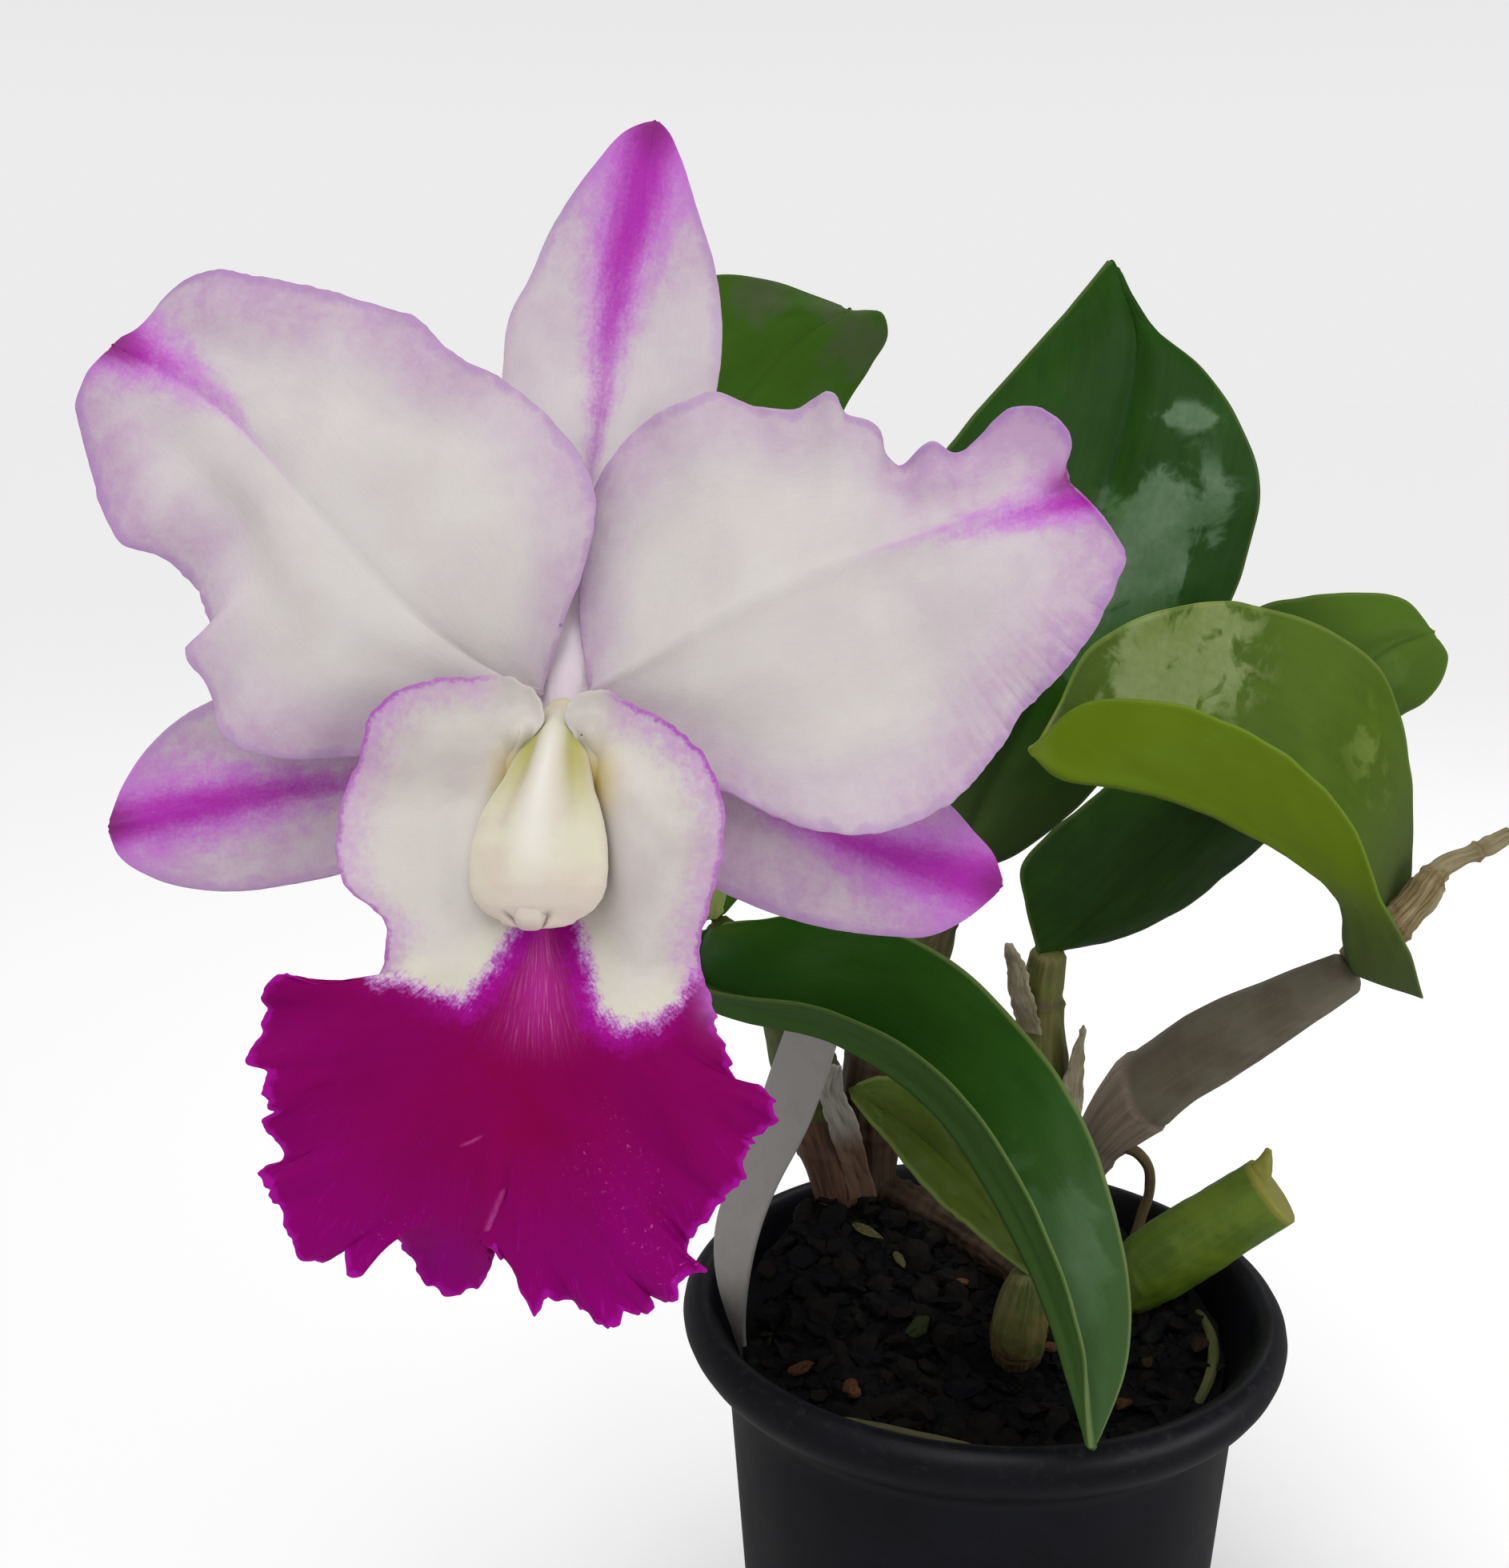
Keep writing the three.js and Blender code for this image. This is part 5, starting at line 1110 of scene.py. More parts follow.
stems = {
    "pseudobulb0": {
        "node": "pseudobulb_0", "slot": "stem_green", "seed": 60,
        "path": [[-22.5, 28.5, 92], [-24, 26, 101], [-28.5, 22, 119], [-32, 15, 135], [-37.5, 6, 147],
            [-43.5, -1, 154.5]],
        "widths": [3.4, 4.4, 5.6, 5.9, 5.4, 4.2, 3, 2.6],
        "look": {"main": "4e5824", "second": "40481e", "fibre": "66683a", "sheath": "684c3c",
            "sheathDark": "46322a", "roughness": 0.5, "wrinkle": 0.22, "ribs": 12, "ribDepth": 0.1,
            "nodesAt": [0.2, 0.42, 0.66, 0.9], "sheathEdges": [[0.34, 0.04, 1]], "fineness": 9.0,
            "fibreShare": 0.3},
    },
    "pseudobulb1": {
        "node": "pseudobulb_1", "slot": "stem_brown", "seed": 65,
        "path": [[-15.5, 34.5, 92], [-15.8, 34, 100], [-16, 30, 115], [-13, 26.5, 130], [-7, 23, 144.5],
            [-4, 22, 157]],
        "widths": [3.4, 4.4, 5.6, 6.1, 5.6, 4.4, 3.2, 2.8],
        "look": {"main": "4e4a2a", "second": "443e24", "fibre": "625a3a", "sheath": "584838",
            "sheathDark": "3c2e22", "roughness": 0.55, "wrinkle": 0.25, "ribs": 12, "ribDepth": 0.1,
            "nodesAt": [0.22, 0.45, 0.68, 0.9], "sheathEdges": [[0.58, 0.05, 3]], "fineness": 9.0},
    },
    "pseudobulb2": {
        "node": "pseudobulb_2", "slot": "stem_green", "seed": 70,
        "path": [[14, 25.5, 89.5], [14.8, 23.5, 98], [14.5, 21.5, 108], [12.3, 20, 123], [11.5, 18, 134.5],
            [12, 15, 145]],
        "widths": [3, 3.6, 4.6, 5.1, 5, 4.3, 3.6, 3],
        "look": {"main": "5e6430", "second": "4e5026", "fibre": "766a40", "sheath": "6e5e42",
            "sheathDark": "423420", "roughness": 0.48, "wrinkle": 0.2, "ribs": 11, "ribDepth": 0.12,
            "nodesAt": [0.3, 0.58, 0.84], "sheathEdges": [[0.3, 0.05, 2]], "fibreShare": 0.8},
    },
    "pseudobulb3": {
        "node": "pseudobulb_3", "slot": "stem_papery", "seed": 75,
        "path": [[20.5, 31.5, 90.5], [22.3, 29, 99], [26, 27, 107.5], [33, 24, 117.5], [41, 21, 125.5],
            [52, 14, 136], [60.5, 8.5, 144]],
        "widths": [2.8, 3, 3.6, 5.2, 6.7, 6.4, 6.6, 6.2, 5.4, 4.6, 3.6],
        "look": {"main": "625d4c", "second": "584f41", "fibre": "6e6758", "sheath": "8f8070",
            "sheathDark": "746558", "roughness": 0.55, "wrinkle": 0.12, "ribs": 15, "ribDepth": 0.05,
            "nodesAt": [0.18], "nodeRise": 0.2, "sheathEdges": [[0.41, 0.035, 0.6]], "sheathRise": 0.6,
            "fineness": 8.0, "drawn": 0.05, "fibreHeight": 0.35, "fibreShare": 0.3},
    },
    "pseudobulb5": {
        "node": "pseudobulb_5", "slot": "stem_green", "seed": 80,
        "path": [[5, -8.5, 82], [4.7, -12, 88], [4.6, -15.5, 95.5], [5.2, -17, 102.5]],
        "widths": [2.5, 3.9, 4.5, 4.4, 3.8, 2.8],
        "look": {"main": "5c5630", "second": "424e1e", "fibre": "746842", "sheath": "5e5034",
            "sheathDark": "3a2c1c", "roughness": 0.5, "wrinkle": 0.24, "ribDepth": 0.14, "nodesAt": [0.34],
            "nodeRise": 0.15, "sheathEdges": [[0.45, 0.08, 1.2]], "sheathRise": 0.12, "patch": 95.0},
    },
    "cutStem": {
        "node": "cut_stem", "slot": "stem_green", "seed": 91, "rings": 90,
        "path": [[21.5, 5, 84], [25, 5.5, 87.5], [32, 4.5, 94], [40, 3, 101], [48.5, 1, 108.5]],
        "widths": [3.4, 5.2, 6.2, 6.4, 6.2, 6, 5.9],
        "look": {"main": "5a701a", "second": "425a14", "fibre": "647626", "sheath": "4c5c22",
            "sheathDark": "34401a", "cut": "7e7c30", "cutEnd": 1.0, "roughness": 0.46, "wrinkle": 0.2,
            "ribs": 5, "ribDepth": 0.02, "sheathEdges": [[0.3, 0.06, 0.5]], "sheathShare": 0.6,
            "sheathRise": 0.15, "fibreShare": 0.3, "fibreHeight": 0.3, "cap": 0.06, "patch": 90.0},
    },
    "cutPoint": {
        "node": "cut_stem", "slot": "stem_green", "seed": 92, "rings": 24, "sides": 24,
        "path": [[45.5, 1.4, 109.5], [46.8, 1.2, 112.8], [47.4, 1, 115.8]],
        "widths": [2.6, 1.7, 0.5],
        "look": {"main": "84802e", "second": "6c6a2a", "fibre": "647626", "sheathDark": "34401a",
            "cut": "7e7c30", "cutEnd": 1.0, "roughness": 0.46, "wrinkle": 0.12, "ribs": 5, "ribDepth": 0.02,
            "fibreShare": 0.3, "fibreHeight": 0.3, "cap": 0.4, "patch": 90.0},
    },
    "oldSpike": {
        "node": "old_flower_spike", "slot": "dry_bract", "seed": 94, "sides": 32,
        "path": [[61.5, 8.6, 146], [66.5, 9.2, 150.5], [72, 10, 156.5], [76, 11, 161.5], [82, 12, 164],
            [88, 13, 167]],
        "widths": [2.2, 2.7, 3, 2.4, 2.6, 1.6, 1.2, 1.5, 0.9],
        "look": {"main": "857a5c", "second": "736848", "fibre": "9c9070", "sheath": "8f8464",
            "sheathDark": "64502f", "roughness": 0.75, "wrinkle": 0.42, "ribs": 7, "ribDepth": 0.16,
            "nodesAt": [0.28, 0.55, 0.8], "sheathEdges": [[0.3, 0.06, 1], [0.56, 0.06, 4]], "fineness": 6.0,
            "drawn": 0.1, "fibreHeight": 1.8, "relief": 0.14, "shine": 0.18, "cap": 0.3},
    },
}


for name, stem in stems.items():
    buildShoot(name, stem)
print("stems ready")


rhizome = {
    "node": "rhizome", "slot": "rhizome_skin", "rings": 40, "ringsPerMm": 3, "sides": 36,
    "seed": 100, "ringSpacing": 3.3,
    "look": {"main": "463628", "second": "35291f", "fibre": "5a4a36", "sheathDark": "241a12",
        "roughness": 0.75, "wrinkle": 0.5, "ribs": 8, "ribDepth": 0.12, "nodeRise": 0.45, "fineness": 5.0,
        "drawn": 0.15, "shine": 0.2, "relief": 0.12},
    "branches": [
        {
            "path": [[-24, 29, 94], [-15, 33, 93.5], [-7.5, 28.5, 92], [-0.8, 22, 90.5], [5.3, 13.4, 89.5],
                [10, 7, 88], [8.5, -2, 85.5], [5, -8.5, 82.5]],
            "widths": [2.4, 3.1, 2.6, 3.2, 2.7, 3.3, 2.7, 3.1, 2.6, 2.8, 2.2],
        },
        {
            "path": [[-0.8, 22, 90], [7, 24.5, 89.5], [14, 26, 89.5], [20.5, 31, 90.5]],
            "widths": [2.4, 3, 2.5, 2.9, 2.3],
        },
        {
            "path": [[9.5, 7.5, 87.5], [15, 6.5, 86], [21, 5, 84]],
            "widths": [2.3, 2.9, 2.4, 2.8],
        },
    ],
}

rootMake = {"slot": "root_skin", "rings": 90, "sides": 20}

roots = {
    "rootLoop": {
        "node": "root_loop", "seed": 110,
        "path": [[28, 24, 106], [30.5, 23.5, 105.2], [33, 23.5, 102.2], [33.6, 23.8, 98], [32.6, 24.2, 93],
            [30, 24, 83]],
        "widths": [1.1, 0.9, 0.9, 0.9, 1],
        "look": {"main": "5c5034", "second": "4c422a", "fibre": "746a4a", "sheathDark": "3a3020",
            "roughness": 0.75, "wrinkle": 0.12, "shine": 0.2},
    },
    "rootFront": {
        "node": "root_front", "seed": 111,
        "path": [[-30, -24, 78], [-28.5, -28, 83], [-25, -32.6, 86.6], [-18.5, -37, 88.2],
            [-11, -39.8, 88.2], [-4, -40.6, 86.4], [0, -39.4, 82.4], [1, -38, 78]],
        "widths": [0.8, 0.85, 0.9, 0.85, 0.8, 0.7],
        "look": {"main": "5e5a3c", "second": "4c4830", "fibre": "706c4e", "sheathDark": "5a4a30",
            "roughness": 0.7, "wrinkle": 0.14, "shine": 0.2},
    },
    "rootSide": {
        "node": "root_side", "seed": 112,
        "path": [[31, -20, 79], [34.5, -17, 83.5], [37.3, -10, 84.6], [38.5, -2, 84.6], [38, 5, 83.6],
            [36, 10, 80]],
        "widths": [0.7, 0.85, 0.9, 0.85, 0.8, 0.7],
        "look": {"main": "4c5028", "second": "3e4222", "fibre": "5e603a", "sheathDark": "5a4a30",
            "roughness": 0.7, "wrinkle": 0.14, "shine": 0.2},
    },
}


def buildRhizome():
    material = makeStemSkin("rhizomeSkin", rhizome["look"])
    for number, branch in enumerate(rhizome["branches"]):
        run = lengthOf(branch["path"])
        count = int(run / rhizome["ringSpacing"])
        look = {**rhizome["look"], "nodesAt": [(k + 0.5) / count for k in range(count)]}
        rings = max(rhizome["rings"], int(run * rhizome["ringsPerMm"]))
        made = {**rhizome, **branch, "rings": rings, "seed": rhizome["seed"] + number, "look": look}
        buildShoot(f"rhizome{number}", made, material)


buildRhizome()
for name, root in roots.items():
    buildShoot(name, {**rootMake, **root})
print("rhizome and roots ready")


# flip says that the upper face is the one away from the blade's own normal, and sink how deep the midrib
# lies. tip is a coat near the tip: the shares between which it comes in and its strength. filmAndSheen is
# how strong the dried water marks are that scatter reflections, and how strong the paler tint over them is,
# a painted sheen; fine is how small they are, and paintedFootLight how strongly the foot takes a tone of
# painted light and shade. wetAndSheenSpots is where the marks and their painted sheen lie: each entry is a
# share along, a share across, a spread of each, a lean and a strength.
leaves = {
    "leafA": {
        "node": "leaf_a", "slot": "leaf_green", "seed": 130,
        "mid": [[-44.5, 2.5, 156], [-45, 4, 161.5], [-46, 9, 173.5], [-47.5, 14, 192.5], [-47.5, 18, 214.5],
            [-43.5, 20, 232.5], [-37.5, 20, 240], [-30, 18, 247.5], [-23.5, 17, 251]],
        "left": [[-46, 1.5, 156], [-50, 3, 163], [-56.5, 7, 174], [-61, 12, 193], [-63.5, 16, 212],
            [-62.5, 19, 230], [-57.5, 20, 245], [-50, 20, 254], [-44, 19, 256.5], [-37, 18, 256],
            [-29.5, 18, 253.7], [-24.3, 17, 251.9]],
        "right": [[-43, 3.5, 156], [-38.5, 6, 161], [-32.5, 10, 172], [-28.5, 15, 188.5],
            [-27.5, 19, 206.5], [-26.5, 21, 222], [-24, 22, 235], [-19.5, 20, 243], [-17, 18, 248],
            [-18, 17, 250.8], [-22.5, 17, 251]],
        "bulge": -1.1, "flip": True, "sink": 0.25,
        "look": {"dark": "294c10", "light": "406418", "under": "506a30", "rimLine": 0.0, "vein": "2c4c16",
            "blotch": "4a523a", "blotchShare": 0.75, "filmAndSheen": 0.0, "roughness": 0.45},
    },
    "leafB": {
        "node": "leaf_b", "slot": "leaf_green", "seed": 140,
        "mid": [[-3.6, 22, 157.8], [1.5, 25, 170], [10, 29, 186], [17, 33, 205], [22, 36, 221.5],
            [25.5, 38, 235], [27, 39, 248], [22.5, 38.5, 259.5]],
        "left": [[-5.6, 20.6, 158], [-14, 19, 177], [-18.5, 19, 196], [-16, 21, 213], [-6, 25, 229.5],
            [7, 31, 244], [15.5, 35, 253], [21.6, 38, 260]],
        "right": [[-1.6, 23.4, 157.8], [5, 26, 158.8], [16.5, 31, 165.5], [30, 37, 179], [40, 40, 191.5],
            [46.5, 42, 202.5], [49.5, 43, 212.5], [50.5, 43, 223.5], [47, 43, 232], [39, 42, 242.5],
            [29, 40, 250], [23.6, 38.5, 259]],
        "bulge": -1.1, "flip": True, "sink": 0.75,
        "look": {"dark": "18360b", "light": "28500f", "under": "456228", "rimLine": 0.15, "vein": "14300c",
            "filmAndSheen": 1.0, "roughness": 0.42, "fine": 85.0, "paintedFootLight": 0.6},
        "wetAndSheenSpots": [[0.56, 0.34, 0.14, 0.34, 0, 1], [0.76, 0.5, 0.018, 0.36, -0.2, 1],
            [0.42, 0.3, 0.1, 0.34, 0, 0.8], [0.6, 0.72, 0.07, 0.16, 0, 0.7]],
    },
    "leafC": {
        "node": "leaf_c", "slot": "leaf_green", "seed": 150,
        "mid": [[12, 15, 146], [23.5, 13, 157.5], [35, 14, 169.5], [46.5, 16, 181.5], [60, 18, 192],
            [69, 19, 198], [74.2, 20, 199.6]],
        "left": [[10, 13.6, 146.4], [7.5, 12, 155], [6.5, 11, 162], [10.5, 11, 167], [19.5, 12, 174.5],
            [29, 14, 186], [38, 17, 199], [46, 19, 204], [54, 20, 205.5], [63, 21, 206], [70.5, 21, 204.4],
            [74, 20.2, 200.6]],
        "right": [[13.8, 16.4, 145.6], [18, 18, 145.6], [32, 21, 149.5], [42, 23, 156], [51, 24, 163.5],
            [63.5, 25, 175.5], [72, 24, 185], [75, 23, 187.5], [77.5, 22, 191.5], [77.8, 21, 195.5],
            [75.2, 20, 199]],
        "bulge": -1.1, "flip": True, "sink": 0.7,
        "look": {"dark": "162b0c", "light": "2c4c16", "under": "3c5622", "rimLine": 0.1, "vein": "14280c",
            "filmAndSheen": 0.4, "roughness": 0.4, "paintedSheenTint": "7c9450", "fine": 120.0, "tip": [0.62, 0.9, 0.8],
            "tipTone": "4c661c"},
        "wetAndSheenSpots": [[0.86, 0.3, 0.05, 0.3, 0, 1]],
    },
    "leafD": {
        "node": "leaf_d", "slot": "leaf_young", "seed": 160,
        "mid": [[61.5, 8, 145], [57, 1, 159], [49, -5, 166.5], [40.5, -10, 172.5], [30.5, -15, 178],
            [23, -19, 181.5], [14, -24, 184.5], [5, -28, 187], [1, -31, 190]],
        "left": [[69, -3, 144], [63.5, -9, 154.5], [56.5, -15, 164], [48.5, -24, 177], [37, -33, 188.5],
            [30, -37, 193], [21, -40, 197], [13, -41, 198.5], [6.5, -39, 198], [0.3, -32, 190.6]],
        "right": [[67.5, 12, 151], [72, 14, 158], [72.5, 15, 163.5], [69, 14, 184], [64, 11, 193.5],
            [52, 5, 202], [41, -1, 206], [34, -5, 207.5], [24, -12, 207.5], [16, -18, 206], [9, -23, 202.5],
            [5, -27, 196], [1.6, -30.6, 191]],
        "bulge": 0.6, "flip": True, "sink": 0.5,
        "look": {"dark": "3a5206", "light": "50690c", "under": "67800e", "rimLine": 0.22, "vein": "445a0a",
            "filmAndSheen": 1.0, "roughness": 0.42, "fine": 150.0, "paintedFootLight": 0.9, "paintedSheenTint": "98a850",
            "tip": [0.93, 0.99, 0.7], "tipTone": "8a8a5c"},
        "wetAndSheenSpots": [[0.72, 0.75, 0.13, 0.4, 0, 1], [0.3, 0.7, 0.1, 0.2, 0, 0.35]],
    },
    "leafF": {
        "node": "leaf_f", "slot": "leaf_green", "seed": 170,
        "mid": [[-45, -4, 154.8], [-47.5, -14, 153], [-46, -24, 152], [-42.5, -29, 151.6],
            [-26, -36, 149.4], [-12.5, -42, 141.5], [-4.5, -47, 131], [3, -52, 116.5], [8.5, -54, 97]],
        "left": [[-46.4, -4.4, 155.4], [-49.5, -18, 155.5], [-48, -31, 156], [-43, -38, 157],
            [-26.5, -48, 157.5], [-18, -53, 154.5], [-7.5, -59, 145.5], [-0.5, -62, 133.5], [4.5, -61, 119],
            [8, -55, 97.4]],
        "right": [[-43.6, -3.4, 155.4], [-42.5, -8, 157.5], [-38.5, -14, 160], [-31.5, -22, 163.5],
            [-20, -30, 164], [-9, -35, 159.5], [-0.5, -39, 151.5], [7.5, -42, 140], [11.5, -45, 129],
            [14, -48, 116], [13, -51, 105.5], [9.2, -54, 97.4]],
        "bulge": 1.1, "flip": False, "sink": 0.6,
        "look": {"dark": "1b400a", "light": "284f0e", "under": "34501e", "rimLine": 0.3, "vein": "20480e",
            "filmAndSheen": 0.3, "roughness": 0.36, "fine": 90.0, "tip": [0.55, 0.85, 0.7], "tipTone": "3c5230"},
        "wetAndSheenSpots": [[0.75, 0.4, 0.14, 0.4, 0, 1]],
    },
    "leafG": {
        "node": "leaf_g", "slot": "leaf_young", "seed": 180,
        "mid": [[6, -17.2, 103.6], [1.5, -15, 109], [-5.5, -12, 117], [-14.5, -11, 125.5],
            [-22.5, -12, 131.5]],
        "left": [[4.8, -18.2, 103.6], [-4.5, -18, 111.5], [-11.5, -16, 117.5], [-17, -14, 124],
            [-20.8, -13.2, 128.4], [-22.7, -12.4, 130.6]],
        "right": [[7, -16.2, 103.4], [2.5, -12, 113], [-3.5, -10, 122], [-9, -9, 128.8], [-14, -9.4, 132.2],
            [-18.5, -10.4, 133.2], [-21.7, -11.4, 132.6]],
        "bulge": -0.6, "flip": True, "sink": 0.12,
        "look": {"dark": "303d10", "light": "455416", "under": "46541a", "rimLine": 0.2, "vein": "2f3e0e",
            "blotch": "4c5a24", "blotchShare": 0.3, "filmAndSheen": 0.0, "roughness": 0.45},
    },
}

leafMake = {
    "grid": [130, 44, 0.3], "half": 0.85, "rimHalf": 0.28, "ribHalf": 0.25, "ribWidth": 1.9,
    "look": {"fine": 100.0, "paintedSheenTint": "6f9468", "rimTone": "8c9a5a", "paintedFootTone": "485430"},
}


def makeLeafSkin(name, given):
    material, tree, place = newMaterial(name)
    look = {**leafMake["look"], **given}
    sheet = field(tree, "sheet", "Vector")
    share = field(tree, "alongShare")
    upper = field(tree, "upperFace")
    under = maths("SUBTRACT", 1.0, upper)
    drawn = drawnNoise(sheet, (0.55, 0.05, 1.0), 4.0)
    fine = drawnNoise(sheet, (3.6, 0.12, 1.0), 3.0)
    patches = useGroup(softPatches, Place=place, Scale=60.0, Low=0.36, High=0.66)
    coats = [(plus(times(patches, 0.3), times(drawn, 0.5)), "light")]
    if "tip" in look:
        low, high, strength = look["tip"]
        coats.append((times(ease(share, low, high), strength), "tipTone"))
    coats.append((times(ease(fine, 0.5, 0.7), 0.1), "light"))
    coats.append((times(field(tree, "midLine"), 0.35), "vein"))
    if "blotch" in look:
        spots = plus(noise(place, 150.0, 4.0, 0.6), times(field(tree, "blotchZone"), 0.34))
        coats.append((times(ease(spots, 0.62, 0.95), look["blotchShare"]), "blotch"))
    coats.append((times(ease(field(tree, "rim"), 0.1, 0.7, 1.0, 0.0), look["rimLine"]), "rimTone"))
    coats.append((times(under, 0.8), "under"))
    # painted light and shade at the foot: it lifts the shadow on leaf B's foot and gives leaf D's foot its
    # shaded, grey-reflecting look
    if "paintedFootLight" in look:
        coats.append((times(ease(share, 0.04, 0.34, 1.0, 0.0), look["paintedFootLight"]), "paintedFootTone"))
    # dried water marks, broken up so that reflections break up too; their paler tint is a painted sheen
    zone = field(tree, "filmAndSheenZone")
    marks = plus(noise(place, look["fine"], 6.0, 0.6, 0.5), times(zone, 0.27))
    filmAndSheen = times(ease(marks, 0.56, 0.68), look["filmAndSheen"], between(noise(place, 700.0, 3.0, 0.6), 0.5, 1.2))
    filmAndSheen = times(maths("MINIMUM", times(filmAndSheen, ease(zone, 0.0, 0.5)), 1.0), upper)
    coats.append((times(filmAndSheen, 0.3), "paintedSheenTint"))
    grain = useGroup(skinGrain, Place=place, Coarse=260.0, Fine=3400.0, FineShare=0.3)
    height = plus(grain, times(fine, 0.8), times(drawn, 0.8))
    rough = between(under, between(filmAndSheen, look["roughness"], 0.3), 0.55)
    finishSkin(tree, layered(look, "dark", coats), rough, height, 0.05, 0.08, None,
               {"Coat Weight": times(filmAndSheen, 0.42), "Coat Roughness": 0.24, "Coat IOR": 1.45})
    return material


def buildLeaf(name, leaf):
    seed = leaf["seed"]
    grid = layBlade(leaf, *leafMake["grid"])
    u, v, a, side = sharesOf(grid)
    ends = smooth(u / 0.1) * smooth((1 - u) / 0.1)
    lateral = rowDistances(grid["points"])[1]
    up = -1 if leaf["flip"] else 1
    sunk = -up * leaf["sink"] * hill(lateral, leafMake["ribWidth"]) * ends
    swell = (0.35 * softNoise(u * 6, v * 2, seed) + 0.16 * softNoise(u * 14, v * 5 + 7, seed + 1)
             + 0.05 * softNoise(u * 40, v * 10 + 3, seed + 2)) * ends
    edge = 0.16 * softNoise(u * 22, side, seed + 3) * a ** 6 * ends
    lift(grid, sunk + swell + edge, 0.1 * softNoise(u * 30, side, seed + 4) * a ** 10 * ends)
    points = grid["points"]
    length = lengthOf(points[:, points.shape[1] // 2])
    zone = smooth((u - 0.72) / 0.2) * smooth((a - 0.2) / 0.5) + smooth((u - 0.93) / 0.05)
    fields = {
        "rim": rowDistances(points)[0],
        "alongShare": u,
        "sheet": np.stack([lateral, u * length, 0 * u + seed], axis=-1),
        "midLine": hill(lateral, 0.55) * smooth(u / 0.05) * smooth((1 - u) / 0.05),
        "blotchZone": np.clip(zone, 0, 1),
        # where the gloss marks lie, with the painted sheen over them
        "filmAndSheenZone": np.clip(foldHeights(u, v, leaf.get("wetAndSheenSpots", [])), 0, 1),
    }
    half = mix(leafMake["half"], leafMake["rimHalf"], smooth(a ** 1.6))
    half = half + leafMake["ribHalf"] * hill(lateral, 1.3) * ends
    piece = closeSheet(name, grid, half, fields, 3, leaf["flip"])
    settle(piece, makeLeafSkin(name + "Skin", leaf["look"]), leaf["node"])


for name, leaf in leaves.items():
    buildLeaf(name, leaf)
print("leaves ready")


bracts = {
    "sheathLeft": {
        "node": "sheath_left", "seed": 200,
        "mid": [[9.5, 14.5, 131.5], [7, 13, 138], [6, 11.5, 144], [4.4, 10, 148.4]],
        "left": [[8.2, 15.6, 131.5], [5.8, 14.6, 138], [5, 12.8, 144], [4, 10.4, 148.2]],
        "right": [[11, 13.6, 131.5], [9, 12.2, 138], [7.4, 11, 144], [4.8, 9.8, 148.6]],
    },
    "sheathRight": {
        "node": "sheath_right", "seed": 205,
        "mid": [[17.5, 17.5, 106], [18.6, 17, 115], [18.2, 15, 124], [17.9, 12.4, 132.4]],
        "left": [[14.5, 15.4, 106], [15, 13.6, 115], [15.4, 12.6, 124], [17.5, 12, 132.2]],
        "right": [[19, 20.5, 106], [19.6, 20.5, 115], [19, 17.6, 124], [18.3, 12.8, 132.6]],
    },
    "sheathFoot": {
        "node": "sheath_foot", "seed": 210,
        "mid": [[-18.6, 25, 96], [-20.5, 22, 104], [-22.5, 16.5, 113.5], [-25, 13, 122], [-24, 11, 126.5]],
        "left": [[-20.6, 23.6, 96], [-22.4, 20.8, 104], [-24.8, 15.8, 113.5], [-26.4, 12.6, 122],
            [-24.6, 11, 126.5]],
        "right": [[-16, 25, 96], [-18.2, 22.4, 104], [-20.2, 17, 113.5], [-23.2, 13.4, 122],
            [-23.4, 11.2, 126.5]],
        "rotten": 0.85,
    },
}

bractSkin = {
    "grid": [60, 20, 0.2], "straw": "918b72", "brown": "786f58", "fuzz": "8a8780", "dead": "5e4034",
    "vein": "54493c", "half": 0.34,
}


def makeBractSkin():
    material, tree, place = newMaterial("bractSkin")
    fine = drawnNoise(field(tree, "sheet", "Vector"), (2.4, 0.1, 1.0), 4.0, 0.65)
    patches = useGroup(softPatches, Place=place, Scale=190.0, Low=0.36, High=0.66)
    lines = (times(ease(fine, 0.45, 0.7), 0.5), "vein")
    rotten = layered(bractSkin, "dead", [(ease(field(tree, "alongShare"), 0.35, 0.6), "fuzz"), lines])
    base = layered(bractSkin, "straw", [(patches, "brown"), lines, (field(tree, "rotten"), rotten)])
    height = plus(fine, noise(place, 900.0))
    finishSkin(tree, base, between(fine, 0.6, 0.85), height, 0.12, 0.2, (0.15, (0.7, 0.5, 0.3), 0.8))
    return material


def buildBracts():
    material = makeBractSkin()
    for name, bract in bracts.items():
        grid = layBlade(bract, *bractSkin["grid"])
        u, v, a, side = sharesOf(grid)
        seed = bract["seed"]
        crumple = 0.3 * softNoise(u * 8, v * 2, seed) + 0.12 * softNoise(u * 20, v * 6 + 5, seed + 1)
        torn = 0.2 * softNoise(u * 22, side, seed + 2) * a ** 8
        lateral = rowDistances(grid["points"])[1]
        lift(grid, crumple * smooth(u / 0.15), torn)
        fields = {"sheet": np.stack([lateral, u * 30, 0 * u + seed], axis=-1), "alongShare": u,
                  "rotten": bract.get("rotten", 0.0) + 0 * u}
        piece = closeSheet(name, grid, bractSkin["half"] + 0 * u, fields)
        settle(piece, material, bract["node"])


buildBracts()
print("bracts ready")


